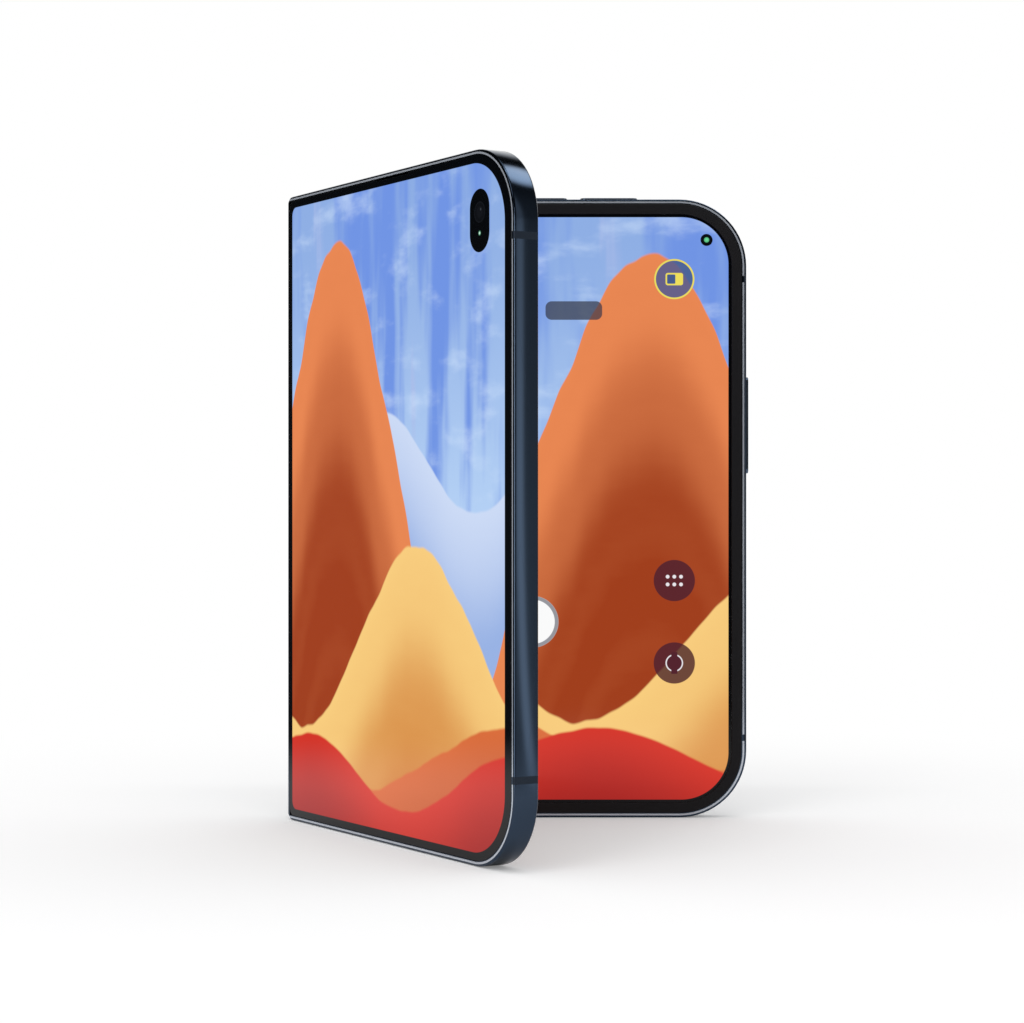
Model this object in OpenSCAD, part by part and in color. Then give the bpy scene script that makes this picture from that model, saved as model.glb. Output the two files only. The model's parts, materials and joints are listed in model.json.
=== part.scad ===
// Book-style folding phone with an inner folding screen and a cover screen.
// Both halves are drawn lying flat, inner screen up, with the fold line along Y:
// X runs out from the fold, Y along it, and depths are measured down from the inner screen.
// They are then folded to the shown angle and stood up on their lower edges, with +Z up.
// The left half is the mirror image of the right one, apart from what each holds.

/* [Body] */
// Height of the phone, along the fold
height = 120; // [112:1:135]
// Width of one half, from the fold line to its outer side
half_width = 85; // [80:1:95]
// Depth of one half, from the inner screen to its back
half_depth = 4.75; // [4.7:0.05:5.3]
// Angle between the two halves, 180 is flat
opening = 59; // [8:1:180]
// Radius of the two outer corners of a half
corner_r = 13; // [10:0.5:15]
// Radius of the two corners next to the fold
spine_corner_r = 2.3; // [1.5:0.1:3]
// Gap from the fold line to each half
fold_gap = 0.15; // [0.1:0.01:0.3]
// Rounding of the frame's long edges
edge_r = 0.4; // [0.2:0.05:0.5]
// Thickness of the frame's side walls
frame_wall = 1.5; // [1.3:0.05:1.6]
// Width of the metal face round the screens
ring_w = 0.9; // [0.7:0.05:1.1]
// Reach of the frame's inner ledges from the outside
ledge_reach = 2.4; // [2:0.1:2.6]
// Thickness of the frame's inner ledges
ledge_t = 0.4; // [0.3:0.05:0.6]

/* [Screens] */
// Thickness of the folding screen
screen_t = 0.35; // [0.3:0.01:0.4]
// Thickness of the plate behind the folding screen
midplate_t = 0.3; // [0.2:0.05:0.4]
// Width of the soft rim round the folding screen
rim_w = 2; // [1.6:0.1:2.4]
// How far the rim stands proud of the folding screen
rim_proud = 0.25; // [0.15:0.01:0.28]
// Thickness of the cover glass and of the back glass
glass_t = 0.45; // [0.4:0.01:0.5]
// Thickness of the cover screen's panel
panel_t = 0.3; // [0.2:0.01:0.3]
// Distance of the cover screen's panel from the half's edges
panel_inset = 2.1; // [2:0.1:2.6]
// Length of the part of the screen that bends, to each side of the fold line
bend_length = 6; // [5.6:0.1:6.4]

/* [Hinge] */
// Distance of each fold axis from the fold line
pivot_x = 1.15; // [1.1:0.01:1.2]
// Depth of each fold axis below the folding screen
pivot_depth = 0.85; // [0.82:0.01:0.88]
// Outer radius of the spine cover about each fold axis
cover_r = 2.9; // [2.8:0.01:2.92]
// Wall of the spine cover
cover_wall = 0.45; // [0.35:0.01:0.5]
// Running gap between the spine cover and the halves
cover_gap = 0.1; // [0.06:0.01:0.14]
// Radius of the two hinge shafts
shaft_r = 0.35; // [0.3:0.01:0.36]
// Outer radius of the bracket's eye on the shaft
eye_r = 0.85; // [0.75:0.01:0.86]
// Outer radius of the fixed bearing on the shaft
bearing_r = 0.8; // [0.7:0.01:0.8]
// Number of teeth of each gear
gear_teeth = 10; // [8:1:12]
// Pitch radius of each gear
gear_r = 0.72; // [0.7:0.01:0.73]
// Radius of the idler gears' axles
axle_r = 0.2; // [0.16:0.01:0.24]
// Reach of the hinge brackets from the fold line
bracket_reach = 17; // [15:0.5:20]
// Width of a bracket's foot along the fold
bracket_foot = 6.4; // [5:0.1:8]
// Thickness of a bracket's foot and arm
bracket_t = 0.75; // [0.6:0.05:0.75]
// Number of friction clips on each shaft
clip_count = 6; // [2:1:9]
// Length of a friction clip along the shaft
clip_length = 4; // [3:0.5:8]
// Wall of a friction clip
clip_wall = 0.22; // [0.15:0.01:0.25]

/* [Wing plates] */
// Distance of the wing plate's axis from the fold line
wing_axis_x = 9.5; // [9:0.1:10]
// Distance of the wing plate's free edge from the fold line
wing_tip_x = 1.85; // [1.8:0.05:2.4]
// Thickness of the wing plate
wing_t = 0.25; // [0.2:0.01:0.3]
// Radius of the bead that the wing plate turns on
bead_r = 0.22; // [0.18:0.01:0.25]
// Share of a half's turn that its wing plate makes
wing_share = 0.16667; // [0.15:0.001:0.18]

/* [Keys] */
// Length of the power key
power_length = 18.75; // [12:0.25:24]
// Height of the power key's middle above the lower edge
power_at = 76.2; // [60:0.1:90]
// How far the power key stands proud of the frame
power_proud = 0.52; // [0.3:0.01:0.7]
// Length of each volume key
volume_length = 11.1; // [8:0.1:12]
// Distance of the volume rocker's gap from the fold line
volume_at = 51.5; // [46:0.1:52]
// Gap between the two volume keys
volume_gap = 2.6; // [2.2:0.1:4]
// How far the volume keys stand proud of the frame
volume_proud = 0.43; // [0.3:0.01:0.6]
// Width of the keys across the phone's edge
key_w = 1.9; // [1.5:0.05:2.1]
// Travel of the keys
key_travel = 0.25; // [0.15:0.01:0.3]
// Depth of the keys' middle below the inner screen
key_depth = 2.4; // [2.2:0.05:2.5]

/* [Cameras] */
// Distance of the inner camera from the half's outer side
inner_camera_side = 7.73; // [7:0.01:9]
// Distance of the inner camera from the upper edge
inner_camera_top = 7.88; // [7:0.01:9]
// Radius of the hole in the folding screen
inner_camera_r = 1.19; // [0.9:0.01:1.5]
// Distance of the cover camera from the half's outer side
cover_camera_side = 11.2; // [10:0.1:13]
// Distance of the cover camera from the upper edge
cover_camera_top = 12.05; // [11:0.05:14]
// Width of the cover camera's slot
cover_camera_w = 6.5; // [5:0.1:7]
// Height of the cover camera's slot
cover_camera_h = 10.6; // [9:0.1:11]
// Distance of the camera island from the half's outer side
island_side = 14.5; // [14:0.1:18]
// Distance of the upper lens from the upper edge
island_top = 15; // [14.6:0.1:18]
// Distance between the two lenses
lens_pitch = 13.5; // [11.5:0.1:15]
// Radius of the camera island's ends
island_r = 6.5; // [6.2:0.1:7]
// How far the camera island stands proud of the back
island_proud = 1.4; // [1:0.1:2]
// Radius of the rear lenses' glass
lens_r = 3.3; // [2.6:0.1:3.6]
// Width of the metal ring round each lens
lens_ring_w = 0.55; // [0.4:0.05:0.8]
// Radius of the flash window
flash_r = 1.1; // [0.8:0.05:1.3]

/* [Ports] */
// Distance of the charging socket's middle from the fold line
port_at = 45; // [43:0.5:46]
// Width of the charging socket's shell
port_w = 8.94; // [8.9:0.01:9]
// Height of the charging socket's shell
port_h = 3.16; // [3.1:0.01:3.2]
// Wall of the charging socket's shell
port_wall = 0.3; // [0.2:0.01:0.35]
// Depth of the charging socket
port_length = 6.6; // [6:0.1:8]
// Width of the card tray
tray_w = 13.6; // [13:0.1:15]
// Thickness of the card tray
tray_t = 1.3; // [1.2:0.05:1.5]
// Depth of the card tray
tray_length = 12; // [11:0.5:13]
// Distance of the card tray's near side from the fold line
tray_at = 21; // [20.5:0.5:22]
// Number of holes in each loudspeaker grille
grille_holes = 6; // [3:1:8]
// Radius of a grille hole
grille_r = 0.5; // [0.4:0.05:0.6]
// Spacing of the grille holes
grille_pitch = 1.9; // [1.6:0.1:2]
// Length of the earpiece slit
earpiece_slit = 12; // [8:0.5:14]
// Width of the insulating bands in the frame
band_w = 1.25; // [0.8:0.05:1.6]
// Distance of the insulating bands from the upper and lower edges
band_at = 15.5; // [15.2:0.1:18]
// Depth of the insulating bands in the frame
band_depth = 0.5; // [0.4:0.05:0.6]

/* [Inside] */
// Height of the upper circuit board
board_h = 30.4; // [28:0.1:32]
// Thickness of the circuit boards
board_t = 0.7; // [0.5:0.05:0.8]
// Depth of the circuit boards' upper face
board_depth = 2.3; // [2.2:0.05:2.4]
// Width of the board beside the battery
board_leg_w = 13.4; // [12:0.1:15]
// Height of the shield cans
shield_h = 1.1; // [0.8:0.05:1.3]
// Thickness of the rear half's battery
rear_cell_t = 3; // [2.5:0.05:3]
// Thickness of the front half's battery
front_cell_t = 2.9; // [2.5:0.05:2.9]
// Height of the zone at the lower edge that holds the socket and the speaker
foot_zone = 15.5; // [15:0.1:18]
// Outer radius of the charging coil
coil_r = 20; // [16:0.5:22]
// Width of the charging coil's winding
coil_band = 8; // [5:0.5:10]
// Thickness of the charging coil
coil_t = 0.35; // [0.2:0.05:0.4]
// Length of the closure magnets
magnet_length = 12; // [8:0.5:16]
// Head radius of the small screws
screw_head_r = 0.95; // [0.8:0.05:1.1]
// Shank radius of the small screws
screw_r = 0.5; // [0.4:0.05:0.6]

/* [Fits] */
// Radial clearance of a turning shaft
shaft_clear = 0.03; // [0.02:0.01:0.06]
// Clearance round a sliding piece
slide_clear = 0.08; // [0.05:0.01:0.12]
// Gap between neighbouring layers of the hinge's ends
layer_gap = 0.06; // [0.05:0.01:0.08]
// Gap round pieces that lie in a pocket
pocket_gap = 0.05; // [0.03:0.01:0.1]
// Gap round the pieces inside a half
inner_gap = 0.1; // [0.05:0.01:0.2]
// Clearance between the gears' teeth
tooth_clear = 0.03; // [0.02:0.005:0.04]

/* [Hidden] */

// Two ends of a length, from its near end or about its middle
function span(from, length) = [from, from + length];
function about(middle, reach) = [middle - reach, middle + reach];

$fn = 64;
// Overlap that carries a cut through a surface
cut = 1;
// Turn of each half from flat, about its own fold axis
fold = 90 - opening / 2;

// Depths of the layers below the inner screen
plate_depth = screen_t + midplate_t;
glass_depth = half_depth - glass_t;
panel_depth = glass_depth - panel_t;
room_depth = plate_depth + inner_gap;
rim_inner = ring_w + rim_w;
screen_inset = rim_inner + pocket_gap;
panel_spine_r = 1.6;
groove_r = cover_r + cover_gap;
cover_inner_r = cover_r - cover_wall;
base_bottom = pivot_depth + cover_inner_r;
base_top = pivot_depth + shaft_r + clip_wall;
bar_x = wing_axis_x + bead_r + 0.9;
corner_block_x = bracket_reach + 0.5;
corner_block_y = bracket_foot + 1.5;
hinge_screw_in = 1.1;

// Layers of the hinge's ends, measured in from the upper and lower edges
mechanism_end = screen_inset - 0.1;
end_plate_t = 0.28;
end_cap_t = 0.4;
gear_t = 0.65;
eye_t = 0.6;
end_plate = [0, end_plate_t];
end_cap = span(end_plate[1] + layer_gap, end_cap_t);
end_gears = span(end_cap[1] + layer_gap, gear_t);
end_eye = span(end_gears[1] + layer_gap, eye_t);
end_block = [end_eye[1] + layer_gap, mechanism_end];
shaft_end = end_cap[0] + layer_gap;

// Hinge brackets: the arm lies beside the screen, the foot below its plate
arm_depth = screen_t + pocket_gap;
arm_end = bar_x + 0.5;
foot_depth = plate_depth + pocket_gap;
screw_length = 2;
screw_hole_r = screw_r + pocket_gap / 2;
boss_r = 1.3;

// Gear train: the idlers mesh with the shafts' gears and with each other
tooth_module = 2 * gear_r / gear_teeth;
gear_root_r = gear_r - 1.15 * tooth_module;
gear_tip_r = gear_r + 0.85 * tooth_module;
gear_root_share = 0.36;
gear_tip_share = 0.11;
half_tooth = 180 / gear_teeth;
idler_x = gear_r;
idler_depth = pivot_depth + sqrt(pow(2 * gear_r, 2) - pow(pivot_x - idler_x, 2));
link_angle = atan2(pivot_depth - idler_depth, idler_x - pivot_x);

// Wing plates
wing_top = screen_t + pocket_gap;
wing_axis_depth = wing_top + bead_r;
wing_tilt = wing_share * fold;
wing_tilt_most = wing_share * 90;
wing_air = 0.15;

// Keys, with distances measured in from the frame's outside
key_flange = [frame_wall - 0.42, frame_wall - 0.1];
key_flange_out = 0.6;
key_flange_up = 0.35;
key_nub_r = 0.6;
key_edge = 0.15;
key_nub_to = key_flange[1] + 0.35;
switch_from = key_nub_to + key_travel + pocket_gap;
switch_dome_t = 0.3;
switch_to = switch_from + 1.4;
switch_length = 6;
switch_h = 2;
board_edge = switch_to + inner_gap;

// Places in the rear half
lens_x = half_width - island_side;
lens_y = [height - island_top, height - island_top - lens_pitch];
island_y = (lens_y[0] + lens_y[1]) / 2;
island_hole_r = lens_r + lens_ring_w + pocket_gap;
island_face = half_depth + island_proud;
island_flange = 0.6;
island_edge = 0.5;
lens_face = island_face - 0.1;
lens_ring_proud = 0.12;
lens_glass_t = 0.4;
barrel_mouth_r = 1.2;
camera_half = 4.4;
shield_margin = 1.8;
shield_gap = 1.5;
camera_back = 3.7;
upper_box_w = 13.5;
board_x = [corner_block_x + upper_box_w, half_width - board_edge];
board_y = [height - board_edge - board_h, height - board_edge];
leg_x = board_x[1] - board_leg_w;
cell_x = bar_x + inner_gap;
inner_camera = [half_width - inner_camera_side, height - inner_camera_top];
inner_camera_half = 2.2;
port_depth = room_depth + port_h / 2;
tray_depth = 2.6;
tray_over = 0.5;
tray_cap_t = 0.7;
tray_cap_over = 0.3;
tray_rail = 0.8;
tray_shelf = 1.2;
card_from = 3;
card_reader_wall = 0.3;
card_reader_end = 1;
card_shelf_t = 0.4;
pin_hole_r = 0.4;
speaker_from = half_width - 20;
speaker_over = 1.5;
speaker_gap = 1.5;
top_speaker_h = 14;
motor_gap = 1;
motor_h = 12;
port_recess = 0.35;
port_board_gap = 1.2;
port_board_foot = 1.6;
mic_gap = 4;
pin_gap = 2.2;
top_grille_from = corner_block_x + 2;
magnet_w = 1.85;
magnet_at = [22, 50];

// Places in the front half
cover_camera_at = [half_width - cover_camera_side, height - cover_camera_top];
front_board_x = [corner_block_x + 0.7, cover_camera_at[0] - cover_camera_w / 2 - 2];
front_board_gap = 8.5;
front_board_h = 17.5;
front_board_y = span(height - front_board_gap - front_board_h, front_board_h);
front_cell_drop = 3;
earpiece_x = 43;
earpiece_length = 14;
earpiece_slit_x = about(earpiece_x, earpiece_slit / 2);
earpiece_slit_w = 0.3;

// Extrusions of a flat outline
module layer(from, to) {
    translate([0, 0, -to]) linear_extrude(to - from) children();
}

module along_y(from, to) {
    translate([0, to, 0]) rotate([90, 0, 0]) linear_extrude(to - from) children();
}

module along_x(from, to) {
    translate([from, 0, 0]) rotate([90, 0, 90]) linear_extrude(to - from) children();
}

module slab(x, y, depth) {
    translate([x[0], y[0], -depth[1]]) cube([x[1] - x[0], y[1] - y[0], depth[1] - depth[0]]);
}

// Both ends of the phone: children are drawn at distances from the upper and lower edges
module both_ends() {
    children();
    translate([0, height, 0]) mirror([0, 1, 0]) children();
}

// Placing of the folded parts
// A point of the front half, given by its distance from the fold line and its depth,
// after the fold: turned about its own axis and carried by the spine's turn about the other
function turned(p, angle) = [
    p[0] * cos(angle) - p[1] * sin(angle),
    p[0] * sin(angle) + p[1] * cos(angle)
];
function front_point(x, depth) = [pivot_x, pivot_depth] + turned([-2 * pivot_x, 0], fold)
    + turned([pivot_x - x, depth - pivot_depth], 2 * fold);

// The origin lies under the middle of the box round the phone as shown
origin_x = (front_point(fold_gap, half_depth)[0] + half_width + power_proud) / 2;
origin_y = (front_point(half_width, half_depth)[1] + island_face) / 2;

module stand_up() {
    translate([-origin_x, -origin_y, 0]) rotate([90, 0, 0]) children();
}

module turn_about(x, depth, angle) {
    translate([x, 0, -depth]) rotate([0, angle, 0]) translate([-x, 0, depth]) children();
}

module in_rear() {
    stand_up() children();
}

module in_spine() {
    stand_up() turn_about(pivot_x, pivot_depth, fold) children();
}

module in_front() {
    in_spine() turn_about(-pivot_x, pivot_depth, fold) mirror([1, 0, 0]) children();
}

// Outlines
module rounded_area(x, y, near_r, far_r) {
    translate([x[0] + near_r, y[0]]) square([x[1] - x[0] - near_r - far_r, y[1] - y[0]]);
    if (near_r > 0) {
        translate([x[0], y[0] + near_r]) square([2 * near_r, y[1] - y[0] - 2 * near_r]);
        for (cy = [y[0] + near_r, y[1] - near_r])
            translate([x[0] + near_r, cy]) circle(near_r);
    }
    if (far_r > 0) {
        translate([x[1] - 2 * far_r, y[0] + far_r])
            square([2 * far_r, y[1] - y[0] - 2 * far_r]);
        for (cy = [y[0] + far_r, y[1] - far_r])
            translate([x[1] - far_r, cy]) circle(far_r);
    }
}

module half_area(inset, from_x, near_r = 0) {
    rounded_area([from_x, half_width - inset], [inset, height - inset], near_r,
        corner_r - inset);
}

module stadium_area(r, length) {
    translate([-r, -length / 2]) square([2 * r, length]);
    for (y = [-length / 2, length / 2])
        translate([0, y]) circle(r);
}

// A solid with round ends whose lower outer edge is rounded
module round_stadium(r, length, depth, edge) {
    module edge_section(inner) {
        intersection() {
            translate([inner, -depth[1]]) square([r - inner, depth[1] - depth[0]]);
            union() {
                translate([inner, -depth[1]]) square([r - inner - edge, depth[1] - depth[0]]);
                translate([inner, edge - depth[1]]) square([r - inner, depth[1] - depth[0]]);
                translate([r - edge, edge - depth[1]]) circle(edge);
            }
        }
    }
    for (side = [0, 1])
        mirror([side, 0, 0]) along_y(-length / 2, length / 2) edge_section(0);
    for (side = [0, 1])
        mirror([0, side, 0]) translate([0, length / 2, 0])
            rotate_extrude(angle = 180) edge_section(0);
}

// A section carried round the outer sides of a half: X of the section is the distance in
module round_the_half(from_x) {
    both_ends() along_x(from_x, half_width - corner_r) children();
    along_y(corner_r, height - corner_r)
        translate([half_width, 0]) mirror([1, 0]) children();
    both_ends() translate([half_width - corner_r, corner_r, 0]) rotate([0, 0, -90])
        rotate_extrude(angle = 90) translate([corner_r, 0]) mirror([1, 0]) children();
}

// Frame of a half
module rounded_side() {
    translate([0, edge_r - half_depth]) square([ledge_reach, half_depth - 2 * edge_r]);
    translate([edge_r, -half_depth]) square([ledge_reach - edge_r, half_depth]);
    for (depth = [edge_r, half_depth - edge_r])
        translate([edge_r, -depth]) circle(edge_r);
}

module frame_section() {
    intersection() {
        rounded_side();
        polygon([
            [0, 0], [ring_w, 0], [ring_w, -screen_t], [frame_wall, -screen_t],
            [frame_wall, -plate_depth], [ledge_reach, -plate_depth],
            [ledge_reach, -plate_depth - ledge_t], [frame_wall, -plate_depth - 2 * ledge_t],
            [frame_wall, ledge_t - panel_depth], [panel_inset - pocket_gap, ledge_t - panel_depth],
            [panel_inset - pocket_gap, -glass_depth], [ring_w, -glass_depth],
            [ring_w, -half_depth], [0, -half_depth],
        ]);
    }
}

// Room for the spine cover to turn in, seen along the fold
module groove_area() {
    translate([pivot_x, -pivot_depth]) circle(groove_r);
    translate([-cut, -pivot_depth - groove_r]) square([cut + pivot_x, groove_r]);
}

// Bar of the frame next to the fold, with the lip that wraps over the spine cover
module bar_area(top) {
    difference() {
        union() {
            translate([fold_gap, edge_r - half_depth])
                square([bar_x - fold_gap, half_depth - edge_r - top]);
            translate([fold_gap + edge_r, -half_depth])
                square([bar_x - fold_gap - edge_r, edge_r]);
            translate([fold_gap + edge_r, edge_r - half_depth]) circle(edge_r);
        }
        groove_area();
        translate([fold_gap + ring_w, -half_depth - cut])
            square([bar_x, cut + glass_t]);
    }
}

// Room that the wing plate needs as it tips, seen along the fold
module wing_room_area() {
    floor_depth = wing_axis_depth + wing_t + wing_air - bead_r;
    edge_x = wing_axis_x + bead_r + pocket_gap;
    polygon([
        [-cut, cut], [edge_x, cut], [edge_x, -wing_axis_depth],
        [wing_axis_x, -wing_axis_depth], [wing_axis_x, -floor_depth],
        [-cut, -floor_depth - (wing_axis_x + cut) * tan(wing_tilt_most)],
    ]);
    translate([wing_axis_x, -wing_axis_depth]) circle(bead_r + shaft_clear);
}

module bracket_pocket() {
    g = pocket_gap;
    both_ends() {
        slab([-cut, arm_end + g], [end_eye[0] - layer_gap, end_eye[1] + layer_gap],
            [-cut, arm_depth + bracket_t + g]);
        slab([bar_x - g, bracket_reach + g], [end_eye[0] - layer_gap, bracket_foot + ring_w + g],
            [-cut, foot_depth + bracket_t]);
    }
}

module spine_bar() {
    // Between the ends the wing plate dips into the bar
    along_y(mechanism_end, height - mechanism_end) difference() {
        bar_area(plate_depth);
        wing_room_area();
    }
    both_ends() along_y(end_plate[1], mechanism_end) bar_area(screen_t);
}

module hinge_screw_places() {
    for (y = [ledge_reach + hinge_screw_in, corner_block_y - hinge_screw_in - ring_w])
        translate([(bar_x + bracket_reach) / 2, y, 0]) children();
}

// Blocks of the frame that the hinge brackets are screwed to
module corner_blocks() {
    both_ends() difference() {
        slab([bar_x - cut, corner_block_x], [frame_wall - pocket_gap, corner_block_y],
            [foot_depth + bracket_t, glass_depth]);
        hinge_screw_places()
            slab_cylinder(screw_hole_r, 0, panel_depth - ledge_t);
    }
}

module half_frame() {
    difference() {
        intersection() {
            union() {
                round_the_half(pivot_x + groove_r) frame_section();
                spine_bar();
                corner_blocks();
                // Thin side plates hide the ends of the hinge
                both_ends() along_x(fold_gap, pivot_x + groove_r) intersection() {
                    rounded_side();
                    translate([0, -half_depth]) square([end_plate[1], half_depth]);
                }
                // Metal ring beside the glass
                both_ends() along_x(fold_gap, pivot_x + groove_r) intersection() {
                    rounded_side();
                    translate([0, -half_depth]) square([ring_w, glass_t]);
                }
            }
            layer(-cut, half_depth + cut) half_area(0, fold_gap, spine_corner_r);
        }
        bracket_pocket();
    }
}

module band_places() {
    for (y = [band_at, height - band_at])
        translate([half_width - cut, y - band_w / 2, -half_depth - cut])
            cube([2 * cut, band_w, half_depth + 2 * cut]);
}

module band_room() {
    difference() {
        band_places();
        layer(-2 * cut, half_depth + 2 * cut) half_area(band_depth, fold_gap);
    }
}

module half_bands() {
    intersection() {
        round_the_half(bracket_reach) intersection() {
            rounded_side();
            translate([0, -half_depth]) square([band_depth, half_depth]);
        }
        band_places();
    }
}

module half_rim() {
    // The two rims stay apart at the fold, and are thin over the hinge's ends
    gap_x = 1.6;
    step_x = pivot_x + groove_r + 4 * pocket_gap;
    module rim_section(thickness) {
        intersection() {
            translate([ring_w + pocket_gap, rim_proud - thickness])
                square([rim_w - pocket_gap, thickness]);
            union() {
                translate([ring_w + pocket_gap, -half_depth])
                    square([rim_w - pocket_gap, half_depth + rim_proud / 2]);
                translate([ring_w + pocket_gap + rim_proud / 2, 0])
                    square([rim_w - pocket_gap - rim_proud, rim_proud]);
                for (x = [ring_w + pocket_gap + rim_proud / 2, rim_inner - rim_proud / 2])
                    translate([x, rim_proud / 2]) circle(rim_proud / 2);
            }
        }
    }
    round_the_half(bracket_reach) rim_section(rim_proud + screen_t);
    both_ends() along_x(step_x, bracket_reach) rim_section(rim_proud + screen_t);
    both_ends() along_x(gap_x, step_x) rim_section(rim_proud - pocket_gap);
}

module half_midplate(screws) {
    difference() {
        union() {
            layer(screen_t, plate_depth)
                half_area(frame_wall + pocket_gap, wing_axis_x + bead_r + 2 * pocket_gap);
            // Bosses that carry a circuit board
            for (p = screws)
                translate(p) slab_cylinder(boss_r, plate_depth - 0.1, board_depth);
        }
        // The brackets' arms come up beside the plate
        both_ends() slab([0, arm_end + pocket_gap], [0, mechanism_end + pocket_gap],
            [-cut, plate_depth + cut]);
        for (p = screws)
            translate(p) slab_cylinder(screw_hole_r, board_depth - pan_screw_reach - 2 * pocket_gap,
                half_depth);
    }
}

module half_screen() {
    layer(0, screen_t) half_area(screen_inset, bend_length);
}

module half_glass() {
    layer(glass_depth, half_depth)
        half_area(ring_w + pocket_gap, fold_gap + ring_w + pocket_gap,
            max(spine_corner_r - ring_w, 0.2));
}

module half_wing() {
    tip_r = wing_t / 2;
    turn_about(wing_axis_x, wing_axis_depth, -wing_tilt)
        along_y(screen_inset, height - screen_inset) {
            translate([wing_axis_x, -wing_axis_depth]) circle(bead_r);
            translate([wing_tip_x + tip_r, -wing_top - wing_t])
                square([wing_axis_x - wing_tip_x - tip_r, wing_t]);
            translate([wing_tip_x + tip_r, -wing_top - tip_r]) circle(tip_r);
        }
}

module half_brackets() {
    both_ends() difference() {
        union() {
            along_y(end_eye[0], end_eye[1]) {
                translate([pivot_x, -pivot_depth]) circle(eye_r);
                translate([pivot_x, -bracket_t])
                    square([groove_r + 2 * pocket_gap, bracket_t]);
            }
            slab([pivot_x + groove_r + pocket_gap, arm_end], end_eye,
                [arm_depth, arm_depth + bracket_t]);
            slab([bar_x, bracket_reach], [end_eye[0], bracket_foot + ring_w],
                [foot_depth, foot_depth + bracket_t - pocket_gap]);
        }
        along_y(0, end_eye[1] + cut)
            translate([pivot_x, -pivot_depth]) circle(shaft_r + shaft_clear / 2);
        hinge_screw_places() countersunk_screw(pocket_gap / 2, foot_depth);
    }
}

// Countersunk screw: a cone under a flat head, grown by a clearance
module countersunk_screw(grow, depth) {
    head_t = screw_head_r - screw_r;
    translate([0, 0, -depth - head_t]) rotate_extrude() polygon([
        [0, -head_t], [screw_r + grow, -head_t], [screw_r + grow, 0],
        [screw_head_r + grow, head_t], [0, head_t],
    ]);
    slab_cylinder(screw_r + grow, depth + head_t, depth + screw_length);
}

module slab_cylinder(r, from, to) {
    translate([0, 0, -to]) cylinder(h = to - from, r = r);
}

module half_hinge_screws() {
    both_ends() hinge_screw_places() countersunk_screw(0, foot_depth);
}

// Straight-flanked gear whose teeth narrow outwards, thinned by the clearance
module gear_area(phase) {
    pitch_angle = 360 / gear_teeth;
    slack = tooth_clear / gear_r * 90 / PI;
    tooth = [
        [gear_root_r, -gear_root_share * pitch_angle + slack],
        [gear_r, -pitch_angle / 4 + slack],
        [gear_tip_r, -gear_tip_share * pitch_angle + slack],
    ];
    outline = [for (p = tooth) p, for (i = [2:-1:0]) [tooth[i][0], -tooth[i][1]]];
    polygon([
        for (i = [0 : gear_teeth - 1], p = outline)
            p[0] * [cos(i * pitch_angle + phase + p[1]), sin(i * pitch_angle + phase + p[1])]
    ]);
}

// Hinge shaft with its two gears
module half_shaft(phase) {
    along_y(shaft_end, height - shaft_end)
        translate([pivot_x, -pivot_depth]) circle(shaft_r);
    both_ends() along_y(end_gears[0], end_gears[1])
        translate([pivot_x, -pivot_depth]) gear_area(link_angle + phase);
}

// Idler gears at both ends, turned back as the half folds
module idler_gears(phase) {
    both_ends() along_y(end_gears[0], end_gears[1])
        translate([idler_x, -idler_depth]) difference() {
            gear_area(link_angle + 180 + half_tooth + phase - fold);
            circle(axle_r + shaft_clear);
        }
}

// Both sides of the spine
module both_sides() {
    children();
    mirror([1, 0, 0]) children();
}

module cover_area(r) {
    both_sides() {
        intersection() {
            translate([pivot_x, -pivot_depth]) circle(r);
            translate([0, -half_depth]) square([half_depth + r, half_depth - pivot_depth]);
        }
        translate([0, -pivot_depth - r]) square([pivot_x, r]);
    }
}

module bearing_area(r) {
    both_sides() translate([pivot_x, -pivot_depth]) circle(r);
    translate([-pivot_x, -pivot_depth - r]) square([2 * pivot_x, r]);
}

module shaft_bores() {
    both_sides() along_y(-cut, height + cut)
        translate([pivot_x, -pivot_depth]) circle(shaft_r + shaft_clear);
}

module spine_cover() {
    color("#1c2630") in_spine() difference() {
        union() {
            along_y(end_cap[0], height - end_cap[0]) difference() {
                cover_area(cover_r);
                cover_area(cover_inner_r);
            }
            both_ends() along_y(end_cap[0], end_cap[1]) {
                cover_area(cover_inner_r + cover_wall / 2);
                bearing_area(bearing_r);
            }
        }
        shaft_bores();
    }
}

module hinge_base() {
    web_x = pivot_x - shaft_r - 0.25;
    flange_x = 2;
    color("#8b8f94") in_spine() difference() {
        union() {
            along_y(end_block[0], height - end_block[0]) intersection() {
                cover_area(cover_inner_r);
                translate([-flange_x, -base_bottom])
                    square([2 * flange_x, base_bottom - base_top]);
            }
            both_ends() along_y(end_block[0], end_block[1]) bearing_area(bearing_r);
            along_y(mechanism_end - 0.1, height - mechanism_end + 0.1)
                translate([-web_x, -base_bottom]) square([2 * web_x, base_bottom - wing_top]);
        }
        shaft_bores();
        both_sides() both_ends() along_y(0, end_block[1])
            translate([idler_x, -idler_depth]) circle(axle_r + shaft_clear / 3);
    }
}

module friction_clips() {
    reach = height / clip_count;
    opening_z = shaft_r / 2 - pivot_depth;
    color("#c9cbcd") in_spine() both_sides() for (i = [0 : clip_count - 1])
        along_y((i + 0.5) * reach - clip_length / 2, (i + 0.5) * reach + clip_length / 2)
            difference() {
                union() {
                    translate([pivot_x, -pivot_depth]) circle(shaft_r + clip_wall);
                    translate([pivot_x - clip_wall, -base_top]) square([2 * clip_wall, clip_wall]);
                }
                translate([pivot_x, -pivot_depth]) circle(shaft_r + shaft_clear / 3);
                translate([0, opening_z]) square([3 * pivot_x, half_depth]);
            }
}

module idler_axles() {
    color("#c9cbcd") in_spine() both_sides() both_ends()
        along_y(end_cap[1] + layer_gap / 2, end_block[1] - layer_gap)
            translate([idler_x, -idler_depth]) circle(axle_r);
}

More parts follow.
